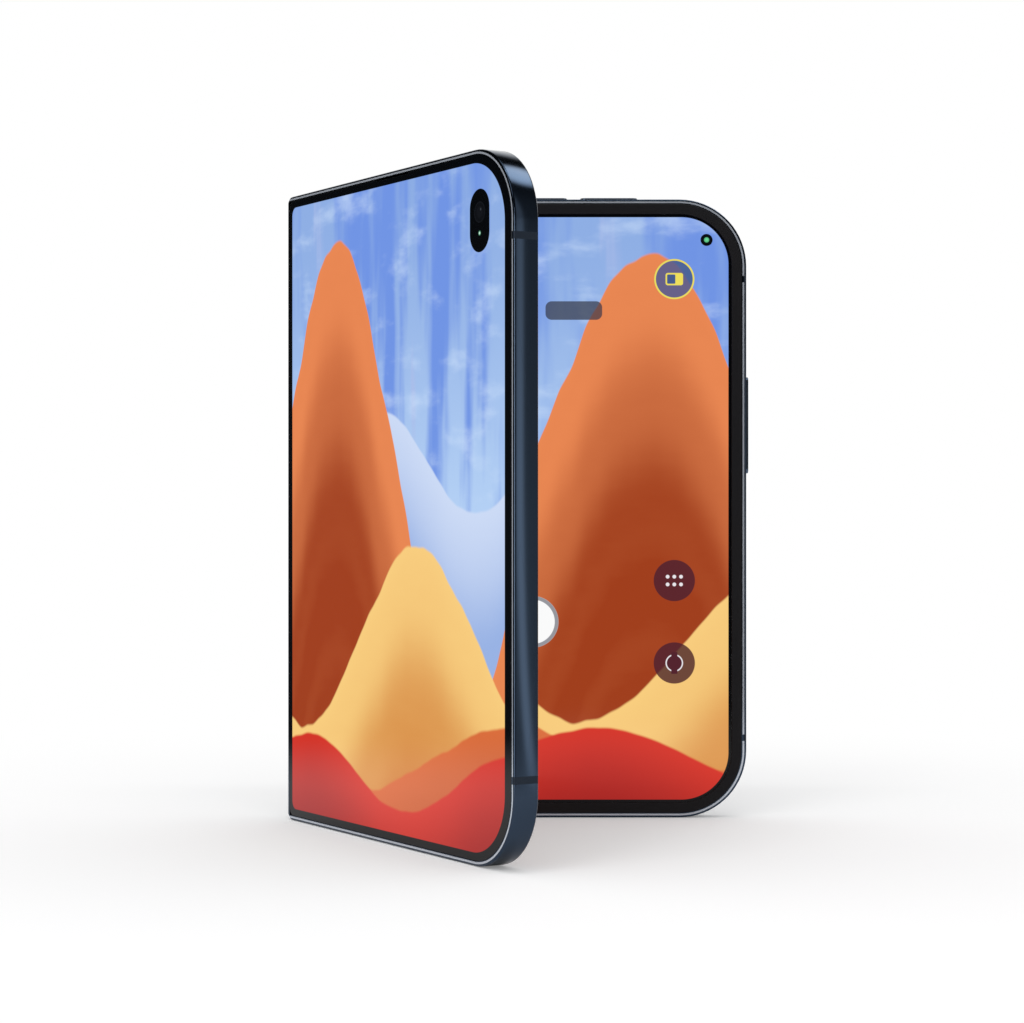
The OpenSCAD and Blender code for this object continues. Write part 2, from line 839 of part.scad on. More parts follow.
module rear_idler_gears() {
    color("#b08d57") in_spine() idler_gears(0);
}

module front_idler_gears() {
    color("#b08d57") in_spine() mirror([1, 0, 0]) idler_gears(half_tooth);
}

// Folding screen: a point of the flat strip turns about the fold axis by a share of the fold
// that grows smoothly from the fold line to the end of the bend
function bend_share(x) = let (t = min(abs(x) / bend_length, 1)) t * t * (3 - 2 * t);

function bent(x, depth) = let (
    a = bend_share(x) * fold,
    u = abs(x) - pivot_x,
    v = pivot_depth - depth
) [
    sign(x) * (pivot_x + u * cos(a) - v * sin(a)),
    -pivot_depth + u * sin(a) + v * cos(a),
];

module inner_display_fold() {
    steps = 24;
    xs = [for (i = [-steps : steps]) i * bend_length / steps];
    color("#5f86c8") in_spine() along_y(screen_inset, height - screen_inset) polygon([
        for (x = xs) bent(x, 0),
        for (i = [len(xs) - 1 : -1 : 0]) bent(xs[i], screen_t)
    ]);
}

// Keys: X runs in from the frame's outside, Y along the edge
module on_side(at) {
    translate([half_width, at, -key_depth]) mirror([1, 0, 0]) children();
}

module on_top(at) {
    translate([at, height, -key_depth]) rotate([0, 0, -90]) children();
}

module key(length, proud) {
    grow = key_flange_out;
    rotate([0, 90, 0])
        round_stadium(key_w / 2, length - key_w, [-key_flange[0] - layer_gap, proud], key_edge);
    translate([key_flange[0], -length / 2 - grow, -key_w / 2 - key_flange_up])
        cube([key_flange[1] - key_flange[0], length + 2 * grow, key_w + 2 * key_flange_up]);
    translate([key_flange[0], 0, 0]) rotate([0, 90, 0])
        cylinder(h = key_nub_to - key_flange[0], r = key_nub_r);
}

module key_room(length) {
    g = slide_clear;
    w = key_w + 2 * key_flange_up + 2 * g;
    l = length + 2 * key_flange_out + 2 * g;
    translate([-cut, 0, 0]) rotate([0, 90, 0]) linear_extrude(frame_wall + 2 * cut)
        stadium_area(key_w / 2 + g, length - key_w);
    translate([key_flange[0] - g, -l / 2, -w / 2]) cube([frame_wall + cut, l, w]);
}

module key_switch() {
    translate([switch_from, 0, 0]) rotate([0, 90, 0])
        cylinder(h = switch_dome_t + 0.05, r1 = 0.6, r2 = 1, $fn = 32);
    translate([switch_from + switch_dome_t, -switch_length / 2, -switch_h / 2])
        cube([switch_to - switch_from - switch_dome_t, switch_length, switch_h]);
}

function key_middle(i) = volume_at + (i - 0.5) * (volume_gap + volume_length);

module power_key() {
    color("#2a3848") in_rear() on_side(power_at) key(power_length, power_proud);
}

module volume_up_key() {
    color("#2a3848") in_rear() on_top(key_middle(0)) key(volume_length, volume_proud);
}

module volume_down_key() {
    color("#2a3848") in_rear() on_top(key_middle(1)) key(volume_length, volume_proud);
}

module key_switches() {
    color("#3c3c3c") in_rear() {
        on_side(power_at) key_switch();
        for (i = [0, 1])
            on_top(key_middle(i)) key_switch();
    }
}

// Ports in the lower edge of the rear half
module port_area(grow) {
    translate([port_at, -port_depth]) rotate(90)
        stadium_area(port_h / 2 + grow, port_w - port_h);
}

module charging_socket() {
    tongue_w = 6.69;
    tongue_t = 0.7;
    tongue_recess = 0.7;
    from = port_recess;
    color("#b9bcc0") in_rear() difference() {
        along_y(from, from + port_length) port_area(0);
        difference() {
            along_y(-cut, from + port_length - port_wall) port_area(-port_wall);
            slab(about(port_at, tongue_w / 2),
                [from + tongue_recess, from + port_length],
                about(port_depth, tongue_t / 2));
        }
    }
}

module tray_body(grow, length) {
    slab([tray_at - grow, tray_at + tray_w + grow], [-cut * sign(grow), length + grow],
        about(tray_depth, tray_t / 2 + grow));
}

module tray_cap(grow) {
    slab([tray_at - tray_over - grow, tray_at + tray_w + tray_over + grow],
        [-cut * sign(grow), tray_cap_t + grow],
        about(tray_depth, tray_t / 2 + tray_cap_over + grow));
}

module card_tray() {
    color("#2a3848") in_rear() difference() {
        union() {
            tray_body(0, tray_length);
            tray_cap(0);
        }
        // Openings for the card
        slab([tray_at + tray_rail, tray_at + tray_w - tray_rail],
            [card_from, tray_length - tray_rail], [0, tray_depth + tray_t / 2 - card_shelf_t]);
        slab([tray_at + tray_rail + tray_shelf, tray_at + tray_w - tray_rail - tray_shelf],
            [card_from + 1, tray_length - tray_rail - 1], [0, half_depth]);
    }
}

module card_reader() {
    wall = slide_clear + card_reader_wall;
    color("#a8abae") in_rear() difference() {
        slab([tray_at - wall, tray_at + tray_w + wall],
            [ledge_reach + inner_gap, tray_length + card_reader_end],
            about(tray_depth, tray_t / 2 + wall));
        tray_body(slide_clear, tray_length);
    }
}

module grille(from_x) {
    for (i = [0 : grille_holes - 1])
        along_y(-cut, 2 * cut + frame_wall)
            translate([from_x + i * grille_pitch, -key_depth]) circle(grille_r);
}

module rear_cuts() {
    on_side(power_at) key_room(power_length);
    for (i = [0, 1])
        on_top(key_middle(i)) key_room(volume_length);
    along_y(-cut, 3 * cut) port_area(pocket_gap);
    tray_body(slide_clear, tray_length);
    tray_cap(slide_clear);
    // Eject hole, microphone holes and grilles
    along_y(-cut, 2 * cut + frame_wall)
        for (x = [tray_at + tray_w + pin_gap, speaker_from - mic_gap])
            translate([x, -key_depth]) circle(pin_hole_r);
    grille(speaker_from);
    translate([0, height, 0]) mirror([0, 1, 0]) grille(top_grille_from);
}

module rear_frame() {
    color("#1f2b35") in_rear() difference() {
        half_frame();
        rear_cuts();
        band_room();
    }
}

module rear_antenna_bands() {
    color("#161c23") in_rear() half_bands();
}

module rear_rim() {
    color("#1b1a1d") in_rear() half_rim();
}

module rear_midplate() {
    color("#6f747a") in_rear() difference() {
        half_midplate(rear_board_screws);
        translate(inner_camera) slab_cylinder(inner_camera_r + 3 * inner_gap, 0, half_depth);
    }
}

module inner_display_rear() {
    color("#7f9fdc") in_rear() difference() {
        half_screen();
        translate(inner_camera) slab_cylinder(inner_camera_r, -cut, half_depth);
    }
}

module inner_camera() {
    color("#101216") in_rear() translate(inner_camera) {
        slab_cylinder(inner_camera_r - pocket_gap, pocket_gap, room_depth + inner_gap);
        slab([-inner_camera_half, inner_camera_half], [-inner_camera_half, inner_camera_half],
            [room_depth, board_depth - inner_gap]);
    }
}

module rear_back_glass() {
    color("#202a36") in_rear() difference() {
        half_glass();
        translate([lens_x, island_y]) layer(0, 2 * half_depth)
            stadium_area(island_r + pocket_gap, lens_pitch);
    }
}

module camera_island() {
    color("#1f2b35") in_rear() difference() {
        translate([lens_x, island_y, 0]) {
            round_stadium(island_r, lens_pitch, [glass_depth - pocket_gap, island_face],
                island_edge);
            layer(camera_back + pocket_gap, glass_depth - pocket_gap)
                stadium_area(island_r + island_flange, lens_pitch);
        }
        for (y = lens_y)
            translate([lens_x, y]) slab_cylinder(island_hole_r, 0, 2 * half_depth);
        translate([lens_x, island_y]) slab_cylinder(flash_r + pocket_gap, 0, 2 * half_depth);
    }
}

module lens_rings() {
    color("#3b4653") in_rear() for (y = lens_y)
        translate([lens_x, y]) difference() {
            slab_cylinder(lens_r + lens_ring_w, half_depth, island_face + lens_ring_proud);
            slab_cylinder(lens_r, 0, 2 * half_depth);
        }
}

module lens_glasses() {
    color("#0a0c10") in_rear() for (y = lens_y)
        translate([lens_x, y]) slab_cylinder(lens_r - pocket_gap, lens_face - lens_glass_t, lens_face);
}

module rear_cameras() {
    color("#15171b") in_rear() for (y = lens_y)
        translate([lens_x, y]) difference() {
            union() {
                slab([-camera_half, camera_half], [-camera_half, camera_half],
                    [room_depth + 0.2, camera_back]);
                slab_cylinder(lens_r - 3 * pocket_gap, camera_back - 2 * pocket_gap,
                    lens_face - lens_glass_t - pocket_gap);
            }
            // Tapered mouth of the lens barrel
            translate([0, 0, -lens_face])
                cylinder(h = 1, r1 = lens_r - lens_glass_t, r2 = barrel_mouth_r);
        }
}

module flash_window() {
    color("#e8e3d0") in_rear() translate([lens_x, island_y])
        slab_cylinder(flash_r, board_depth + board_t + inner_gap, lens_face);
}

// Circuit boards
screw_in = 1.6;
camera_screw_gap = 2;
leg_screw_up = 2.4;
pan_head_t = 0.5;
pan_screw_reach = 1.3;
rear_board_screws = [
    [board_x[0] + screw_in, board_y[0] + screw_in],
    [board_x[0] + screw_in, board_y[1] - screw_in],
    [lens_x - camera_half - camera_screw_gap, board_y[1] - screw_in],
    [board_x[1] - screw_in, foot_zone + leg_screw_up],
];

front_board_screws = [
    for (x = [front_board_x[0] + screw_in, front_board_x[1] - screw_in],
        y = [front_board_y[0] + screw_in, front_board_y[1] - screw_in]) [x, y]
];

module main_board() {
    color("#1d4a33") in_rear() difference() {
        layer(board_depth, board_depth + board_t) intersection() {
            half_area(board_edge, 0);
            union() {
                translate([board_x[0], board_y[0]])
                    square([board_x[1] - board_x[0], board_y[1] - board_y[0]]);
                translate([leg_x, foot_zone]) square([board_leg_w, board_y[0] - foot_zone + cut]);
            }
        }
        for (y = lens_y)
            translate([lens_x, y, 0]) slab([-1, 1] * (camera_half + inner_gap),
                [-1, 1] * (camera_half + inner_gap), [0, half_depth]);
        for (p = rear_board_screws)
            translate(p) slab_cylinder(screw_hole_r, 0, half_depth);
    }
}

module board_shields() {
    can_from = board_x[0] + 2 * shield_margin;
    can_to = lens_x - camera_half - 2 * shield_margin;
    can_w = (can_to - can_from - shield_gap) / 2;
    can_y = [board_y[0] + 2 * shield_margin, board_y[1] - 2 * shield_margin];
    cans = [
        [[can_from, can_from + can_w], can_y],
        [[can_to - can_w, can_to], can_y],
        [[leg_x + shield_margin, board_x[1] - shield_margin], height * [0.3, 0.5]],
    ];
    color("#b6b9bc") in_rear() for (can = cans)
        slab(can[0], can[1], [board_depth - shield_h, board_depth]);
}

module pan_screw() {
    head_from = board_depth + board_t;
    slab_cylinder(screw_head_r, head_from, head_from + pan_head_t);
    slab_cylinder(screw_r, board_depth - pan_screw_reach, head_from + pan_head_t / 5);
}

module board_screws() {
    color("#9a9da1") in_rear() for (p = rear_board_screws)
        translate(p) pan_screw();
}

module port_board() {
    color("#1d4a33") in_rear() difference() {
        slab([tray_at + tray_w + port_board_gap, speaker_from - speaker_over - speaker_gap],
            [frame_wall + inner_gap, foot_zone - port_board_foot],
            [board_depth, board_depth + board_t]);
        slab(about(port_at, port_w / 2 + inner_gap),
            [0, port_recess + port_length + inner_gap], [0, half_depth]);
    }
}

module speaker_box(x, y) {
    intersection() {
        slab(x, y, [room_depth + ledge_t + 0.2, panel_depth - ledge_t - inner_gap]);
        layer(0, half_depth) half_area(ledge_reach + inner_gap, 0);
    }
}

module bottom_speaker() {
    color("#26282b") in_rear()
        speaker_box([speaker_from - speaker_over, half_width], [0, foot_zone - inner_gap]);
}

module top_speaker() {
    color("#26282b") in_rear()
        speaker_box([corner_block_x + inner_gap, board_x[0] - inner_gap],
            [height - top_speaker_h, height]);
}

module vibration_motor() {
    color("#b9bcc0") in_rear() slab([cell_x + motor_gap, board_x[0] - 1.5 * motor_gap],
        span(board_y[0] + motor_gap, motor_h), [room_depth, panel_depth - ledge_t]);
}

module rear_battery() {
    color("#2b2d31") in_rear() slab([cell_x, leg_x - inner_gap],
        [foot_zone, board_y[0] - inner_gap], [room_depth, room_depth + rear_cell_t]);
}

module charging_coil() {
    middle = [(cell_x + leg_x) / 2, (foot_zone + board_y[0]) / 2];
    color("#b87333") in_rear() translate(middle) difference() {
        slab_cylinder(coil_r, glass_depth - inner_gap - coil_t, glass_depth - inner_gap);
        slab_cylinder(coil_r - coil_band, 0, half_depth);
    }
}

module half_magnets() {
    side = half_width - frame_wall - inner_gap;
    for (y = magnet_at)
        slab([side - magnet_w, side], [y, y + magnet_length],
            [plate_depth + 2 * ledge_t + pocket_gap, panel_depth - ledge_t - inner_gap]);
}

module rear_magnets() {
    color("#8d9094") in_rear() half_magnets();
}

module rear_hinge_brackets() {
    color("#8b8f94") in_rear() half_brackets();
}

module rear_hinge_screws() {
    color("#c9cbcd") in_rear() half_hinge_screws();
}

module rear_hinge_shaft() {
    color("#c9cbcd") in_rear() half_shaft(0);
}

module rear_wing_plate() {
    color("#83888e") in_rear() half_wing();
}

// Front half
module front_frame() {
    color("#1f2b35") in_front() difference() {
        half_frame();
        band_room();
        layer(panel_depth, glass_depth + pocket_gap)
            half_area(panel_inset - pocket_gap, fold_gap + panel_inset - pocket_gap,
                panel_spine_r);
        // Earpiece slit beside the glass
        slab(earpiece_slit_x, [height - ring_w - earpiece_slit_w, height - ring_w],
            [panel_depth - ledge_t - cut, glass_depth + cut]);
    }
}

module front_rim() {
    color("#1b1a1d") in_front() half_rim();
}

module front_antenna_bands() {
    color("#161c23") in_front() half_bands();
}

module cover_glass() {
    color("#05070c") in_front() difference() {
        half_glass();
        slab(earpiece_slit_x, [height - ring_w - earpiece_slit_w, height], [0, 2 * half_depth]);
    }
}

module cover_display() {
    color("#c9762f") in_front() difference() {
        layer(panel_depth, glass_depth)
            half_area(panel_inset, fold_gap + panel_inset, panel_spine_r);
        translate(cover_camera_at) layer(0, half_depth)
            stadium_area(cover_camera_w / 2, cover_camera_h - cover_camera_w);
    }
}

module cover_camera() {
    body = 0.7;
    body_from = room_depth + 0.6;
    color("#0a0c10") in_front() translate(cover_camera_at) {
        layer(panel_depth - 2 * pocket_gap, glass_depth - pocket_gap / 2)
            stadium_area(cover_camera_w / 2 - pocket_gap, cover_camera_h - cover_camera_w);
        slab([-1, 1] * (cover_camera_w / 2 + body), [-1, 1] * (cover_camera_h / 2 + body / 2),
            [body_from, panel_depth - pocket_gap]);
    }
}

module front_midplate() {
    color("#6f747a") in_front() half_midplate(front_board_screws);
}

module inner_display_front() {
    color("#7f9fdc") in_front() half_screen();
}

module front_battery() {
    color("#2b2d31") in_front() slab([cell_x, half_width - board_edge],
        [foot_zone - front_cell_drop, front_board_y[0] - inner_gap], [room_depth, room_depth + front_cell_t]);
}

module front_board() {
    color("#1d4a33") in_front() difference() {
        slab(front_board_x, front_board_y, [board_depth, board_depth + board_t]);
        for (p = front_board_screws)
            translate(p) slab_cylinder(screw_hole_r, 0, half_depth);
    }
}

module front_board_fixings() {
    color("#9a9da1") in_front() for (p = front_board_screws)
        translate(p) pan_screw();
}

module earpiece() {
    color("#26282b") in_front() slab(about(earpiece_x, earpiece_length / 2),
        [front_board_y[1] + inner_gap, height - ledge_reach - inner_gap],
        [plate_depth + 2 * ledge_t, panel_depth - ledge_t - inner_gap]);
}

module front_magnets() {
    color("#8d9094") in_front() half_magnets();
}

module front_hinge_brackets() {
    color("#8b8f94") in_front() half_brackets();
}

module front_hinge_screws() {
    color("#c9cbcd") in_front() half_hinge_screws();
}

module front_hinge_shaft() {
    color("#c9cbcd") in_front() half_shaft(half_tooth);
}

module front_wing_plate() {
    color("#83888e") in_front() half_wing();
}

rear_frame();
rear_rim();
rear_antenna_bands();
rear_back_glass();
rear_midplate();
inner_display_rear();
inner_camera();
rear_battery();
main_board();
board_shields();
board_screws();
port_board();
charging_socket();
card_reader();
bottom_speaker();
top_speaker();
vibration_motor();
charging_coil();
rear_magnets();
key_switches();
camera_island();
lens_rings();
lens_glasses();
rear_cameras();
flash_window();
rear_hinge_brackets();
rear_hinge_screws();
rear_hinge_shaft();
rear_wing_plate();
power_key();
volume_up_key();
volume_down_key();
card_tray();
spine_cover();
hinge_base();
friction_clips();
idler_axles();
rear_idler_gears();
front_idler_gears();
inner_display_fold();
front_frame();
front_rim();
front_antenna_bands();
cover_glass();
cover_display();
front_midplate();
inner_display_front();
cover_camera();
earpiece();
front_battery();
front_board();
front_board_fixings();
front_magnets();
front_hinge_brackets();
front_hinge_screws();
front_hinge_shaft();
front_wing_plate();
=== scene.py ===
"""Looks of a book-style folding phone, laid over its packed construction.

Every piece is in metres, in the row frame of the construction.
"""

import json
import logging
import math
from collections.abc import Callable, Iterable, Iterator, Sequence
from contextlib import contextmanager
from dataclasses import dataclass, replace
from enum import Enum
from functools import wraps

import bmesh
import bpy
from mathutils import Euler, Matrix, Vector


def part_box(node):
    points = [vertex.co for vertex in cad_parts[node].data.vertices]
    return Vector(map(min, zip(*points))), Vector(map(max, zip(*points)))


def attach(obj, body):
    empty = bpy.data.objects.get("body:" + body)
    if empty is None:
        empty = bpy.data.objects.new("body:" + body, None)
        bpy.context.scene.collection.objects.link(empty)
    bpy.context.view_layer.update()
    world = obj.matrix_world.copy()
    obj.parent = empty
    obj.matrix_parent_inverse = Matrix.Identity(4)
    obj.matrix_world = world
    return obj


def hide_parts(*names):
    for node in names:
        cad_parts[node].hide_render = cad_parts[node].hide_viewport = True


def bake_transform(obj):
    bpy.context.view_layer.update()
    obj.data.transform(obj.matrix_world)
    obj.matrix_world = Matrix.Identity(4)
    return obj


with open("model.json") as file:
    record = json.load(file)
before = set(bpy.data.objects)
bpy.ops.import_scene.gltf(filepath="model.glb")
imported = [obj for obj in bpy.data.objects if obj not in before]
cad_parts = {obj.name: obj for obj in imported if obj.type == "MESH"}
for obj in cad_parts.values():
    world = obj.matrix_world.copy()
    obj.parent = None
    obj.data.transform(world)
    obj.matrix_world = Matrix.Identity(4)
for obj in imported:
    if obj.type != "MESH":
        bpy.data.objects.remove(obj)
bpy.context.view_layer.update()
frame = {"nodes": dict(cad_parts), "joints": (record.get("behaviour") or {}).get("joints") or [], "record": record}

LOG = logging.getLogger("folding_phone")
MM = 0.001
FLAT_PLACE = "flat_place"
# Half the width, in metres, over which a drawn edge fades.
WINDOW_SOFT = 4e-5
MARK_SOFT = 6e-5
# Points of a mesh that are nearer than this, in metres, are one.
WELD = 1e-7

Pair = tuple[float, float]
Triple = tuple[float, float, float]
Color = Triple
Socket = bpy.types.NodeSocket
Tree = bpy.types.NodeTree
Piece = bpy.types.Object
Material = bpy.types.Material


def tint(red: float, green: float, blue: float) -> Color:
    """Turns a colour as seen on a screen, 0 to 255, into a linear one.

    Args:
        red: red part, 0 to 255.
        green: green part, 0 to 255.
        blue: blue part, 0 to 255.

    Returns:
        The linear colour.
    """
    def linear(part: float) -> float:
        """Linear value of one part."""
        part /= 255
        return part / 12.92 if part <= 0.04045 else ((part + 0.055) / 1.055) ** 2.4
    return linear(red), linear(green), linear(blue)


class Wire:
    """A node's output. A sum written with it adds a Math or Vector Math node."""

    def __init__(self, writer: "NodeWriter", socket: Socket) -> None:
        """Keeps the output and the writer of its tree."""
        self.writer, self.socket = writer, socket

    def sum(self, operation: str, first: object, second: object) -> "Wire":
        """Adds the node of one sum, a Vector Math node where this output is a vector."""
        write = self.writer.vector if self.socket.type == "VECTOR" else self.writer.math
        return write(operation, first, second)

    def __add__(self, other: object) -> "Wire":
        """This output and another value."""
        return self.sum("ADD", self, other)

    def __sub__(self, other: object) -> "Wire":
        """This output less another value."""
        return self.sum("SUBTRACT", self, other)

    def __rsub__(self, other: object) -> "Wire":
        """Another value less this output."""
        return self.sum("SUBTRACT", other, self)

    def __mul__(self, other: object) -> "Wire":
        """This output times another value."""
        return self.sum("MULTIPLY", self, other)

    def __truediv__(self, other: object) -> "Wire":
        """This output divided by another value."""
        return self.sum("DIVIDE", self, other)

    def __neg__(self) -> "Wire":
        """This output with its sign turned."""
        return self * -1.0


Value = float | Wire
Wires = dict[str, Wire]


class NodeWriter:
    """Short ways to write nodes into one tree."""

    def __init__(self, tree: Tree) -> None:
        """Keeps the tree that the nodes go into."""
        self.tree = tree

    def add(self, kind: str, **settings: object) -> bpy.types.Node:
        """Adds a node and sets its attributes."""
        node = self.tree.nodes.new(kind)
        for name, value in settings.items():
            setattr(node, name, value)
        return node

    def feed(self, socket: Socket, value: object) -> None:
        """Links an output into an input, or sets a plain value there.

        Args:
            socket: the input to feed.
            value: an output, a number, a vector or a colour.
        """
        value = value.socket if isinstance(value, Wire) else value
        if isinstance(value, bpy.types.NodeSocket):
            self.tree.links.new(value, socket)
        elif isinstance(socket, bpy.types.NodeSocketColor) and len(value) == 3:
            socket.default_value = (*value, 1.0)
        else:
            socket.default_value = value

    def set(self, node: bpy.types.Node, **values: object) -> bpy.types.Node:
        """Feeds a node's inputs by name, with _ for a blank, and gives the node back."""
        for name, value in values.items():
            self.feed(node.inputs[name.replace("_", " ")], value)
        return node

    def out(
        self, kind: str, output: int | str = 0, settings: dict[str, object] | None = None,
        **values: object,
    ) -> Wire:
        """Adds a node, feeds its inputs by name and gives one of its outputs.

        Args:
            kind: the node's type name.
            output: number or name of the output.
            settings: attributes of the node to set.
            values: its inputs by name, with _ for a blank.

        Returns:
            The output.
        """
        return Wire(self, self.set(self.add(kind, **(settings or {})), **values).outputs[output])

    def geometry(self, kind: str, **values: object) -> Wire:
        """Adds a geometry node, feeds its inputs by name and gives its first output."""
        return self.out("GeometryNode" + kind, **values)

    def operate(self, kind: str, operation: str, values: Iterable[object]) -> bpy.types.Node:
        """Adds a node of one operation and feeds its inputs in order."""
        node = self.add(kind, operation=operation)
        for socket, value in zip(node.inputs, values):
            self.feed(socket, value)
        return node

    def math(self, operation: str, *values: Value) -> Wire:
        """Adds a Math node and gives its result."""
        return Wire(self, self.operate("ShaderNodeMath", operation, values).outputs[0])

    def vector(self, operation: str, *values: object) -> Wire:
        """Adds a Vector Math node and gives its result."""
        node = self.operate("ShaderNodeVectorMath", operation, values)
        return Wire(self, node.outputs[1 if operation in ("LENGTH", "DOT_PRODUCT") else 0])

    def scaled(self, vector: Wire, factor: Value) -> Wire:
        """Adds a Vector Math node that scales a vector or colour."""
        return self.out(
            "ShaderNodeVectorMath", 0, {"operation": "SCALE"}, Vector=vector, Scale=factor
        )

    def clamp(self, value: Wire, low: float, high: float) -> Wire:
        """Keeps a number between two limits."""
        return self.math("MINIMUM", self.math("MAXIMUM", value, low), high)

    def split(self, vector: Wire) -> tuple[Wire, ...]:
        """Splits a vector into its three parts."""
        node = self.set(self.add("ShaderNodeSeparateXYZ"), Vector=vector)
        return tuple(Wire(self, part) for part in node.outputs)

    def join(self, x: Value, y: Value, z: Value) -> Wire:
        """Joins three numbers into a vector."""
        return self.out("ShaderNodeCombineXYZ", X=x, Y=y, Z=z)

    def up(self, height: Value) -> Wire:
        """Gives the upright vector of a height."""
        return self.join(0.0, 0.0, height)

    def mix(self, share: Value, first: object, second: object) -> Wire:
        """Mixes two colours.

        Args:
            share: how much of the second colour, 0 to 1.
            first: colour at 0.
            second: colour at 1.

        Returns:
            The mixed colour.
        """
        node = self.add("ShaderNodeMix", data_type="RGBA")
        for place, value in ((0, share), (6, first), (7, second)):
            self.feed(node.inputs[place], value)
        return Wire(self, node.outputs[2])

    def smooth(self, value: Value, low: float, high: float) -> Wire:
        """Goes smoothly from 0 at low to 1 at high."""
        return self.out(
            "ShaderNodeMapRange", 0, {"interpolation_type": "SMOOTHSTEP"}, Value=value,
            From_Min=low, From_Max=high,
        )

    def noise(self, vector: Wire, scale: Value, detail: float = 3.0) -> Wire:
        """Adds a Noise Texture and gives its value."""
        return self.out("ShaderNodeTexNoise", Vector=vector, Scale=scale, Detail=detail)

    def ray(self, kind: str) -> Wire:
        """Gives 1 for rays of one kind, as Light Path names them."""
        return self.out("ShaderNodeLightPath", f"Is {kind} Ray")

    def lifted(self, shape: Wire, height: Value) -> Wire:
        """Moves a shape upwards."""
        return self.geometry("Transform", Geometry=shape, Translation=self.up(height))

    def gather(self, kind: str, place: int, shapes: Iterable[Wire], **settings: object) -> Wire:
        """Adds a geometry node that takes several shapes in one input.

        Args:
            kind: the node's type name without its first word.
            place: number of the input.
            shapes: the shapes.
            settings: attributes of the node to set.

        Returns:
            The node's first output.
        """
        node = self.add("GeometryNode" + kind, **settings)
        for shape in shapes:
            self.feed(node.inputs[place], shape)
        return Wire(self, node.outputs[0])

    def flat_place(self) -> Wire:
        """Gives the flat place that is stored on a piece."""
        return self.out("ShaderNodeAttribute", "Vector", {"attribute_name": FLAT_PLACE})

    def group(self, tree: Tree, **values: object) -> Wires:
        """Adds a node group, feeds its inputs by name and gives its outputs by name."""
        node = self.set(self.add("ShaderNodeGroup", node_tree=tree), **values)
        return {socket.name: Wire(self, socket) for socket in node.outputs}


class Kind(Enum):
    """Kinds of a node group's sockets."""

    VALUE = "NodeSocketFloat"
    COUNT = "NodeSocketInt"
    VECTOR = "NodeSocketVector"
    COLOR = "NodeSocketColor"
    SHAPE = "NodeSocketGeometry"


Write = Callable[[NodeWriter, Wires], object]


def kinds(**names: str) -> dict[str, Kind]:
    """Sockets by name, from lists of names that are given under their kind."""
    return {name: Kind[kind] for kind, listed in names.items() for name in listed.split(", ")}


def open_tree(
    name: str, tree_kind: str, takes: dict[str, Kind], gives: dict[str, Kind]
) -> tuple[NodeWriter, Wires, bpy.types.Node]:
    """Makes a node tree with its inputs and outputs.

    Args:
        name: the tree's name.
        tree_kind: its type name.
        takes: its inputs.
        gives: its outputs.

    Returns:
        A writer of the tree, its inputs by name and the node that takes its outputs.
    """
    tree = bpy.data.node_groups.new(name, tree_kind)
    for direction, sockets in (("INPUT", takes), ("OUTPUT", gives)):
        for socket, kind in sockets.items():
            tree.interface.new_socket(socket, in_out=direction, socket_type=kind.value)
    n = NodeWriter(tree)
    entry = n.add("NodeGroupInput")
    wires = {socket.name: Wire(n, socket) for socket in entry.outputs if socket.name}
    return n, wires, n.add("NodeGroupOutput")


def shader_group(
    takes: dict[str, Kind], gives: dict[str, Kind]
) -> Callable[[Write], Callable[[], Tree]]:
    """Turns a function that writes nodes into one that gives their shader group.

    Args:
        takes: the group's inputs.
        gives: its outputs.

    Returns:
        The decorator. Its function gets a writer and the inputs by name and returns the
        outputs by name. The group is made once and has the function's name.
    """
    def decorate(write: Write) -> Callable[[], Tree]:
        """Wraps the writing function."""
        @wraps(write)
        def group() -> Tree:
            """Gives the group."""
            if write.__name__ not in bpy.data.node_groups:
                n, wires, result = open_tree(write.__name__, "ShaderNodeTree", takes, gives)
                for name, wire in write(n, wires).items():
                    n.feed(result.inputs[name], wire)
            return bpy.data.node_groups[write.__name__]
        return group
    return decorate


def grain_result(n: NodeWriter, i: Wires, broad: Wire, fine: Wire) -> Wires:
    """Turns two noise values into a varied colour, roughness and height.

    Args:
        n: writer of the group's tree.
        i: the group's inputs.
        broad: slow variation, 0 to 1.
        fine: quick variation, 0 to 1.

    Returns:
        The group's outputs.
    """
    shade = (broad - 0.5) * i["Spread"] + 1.0
    rough = i["Roughness"] + (fine - 0.5) * i["Roughness Spread"]
    return {"Color": n.scaled(i["Color"], shade), "Roughness": rough, "Height": fine}


grain_group = shader_group(
    kinds(VECTOR="Vector", COLOR="Color", VALUE="Scale, Spread, Roughness, Roughness Spread"),
    kinds(COLOR="Color", VALUE="Roughness, Height"),
)


@grain_group
def moulded_grain(n: NodeWriter, i: Wires) -> Wires:
    """Moulded, cast or coated surfaces: mottled tone and fine even grain."""
    broad = n.noise(i["Vector"], i["Scale"] * 0.06, 2.0)
    return grain_result(n, i, broad, n.noise(i["Vector"], i["Scale"], 4.0))


@grain_group
def drawn_grain(n: NodeWriter, i: Wires) -> Wires:
    """Ground or brushed metal: streaks along the upright axis."""
    streak = i["Vector"] * (1.0, 1.0, 0.03)
    broad = n.noise(streak, i["Scale"] * 0.2, 2.0)
    return grain_result(n, i, broad, n.noise(streak, i["Scale"], 5.0))


@grain_group
def polished_grain(n: NodeWriter, i: Wires) -> Wires:
    """Polished metal and glass: faint smears and sparse hairlines."""
    smear = n.noise(i["Vector"] * (1.0, 1.0, 0.5), 60.0, 3.0)
    hair = n.out(
        "ShaderNodeTexVoronoi", "Distance", {"feature": "DISTANCE_TO_EDGE"},
        Vector=i["Vector"] * (1.0, 1.0, 0.12), Scale=i["Scale"],
    )
    line = 1.0 - n.smooth(hair, 0.0, 0.01)
    return grain_result(n, i, smear, smear + line * 0.5)


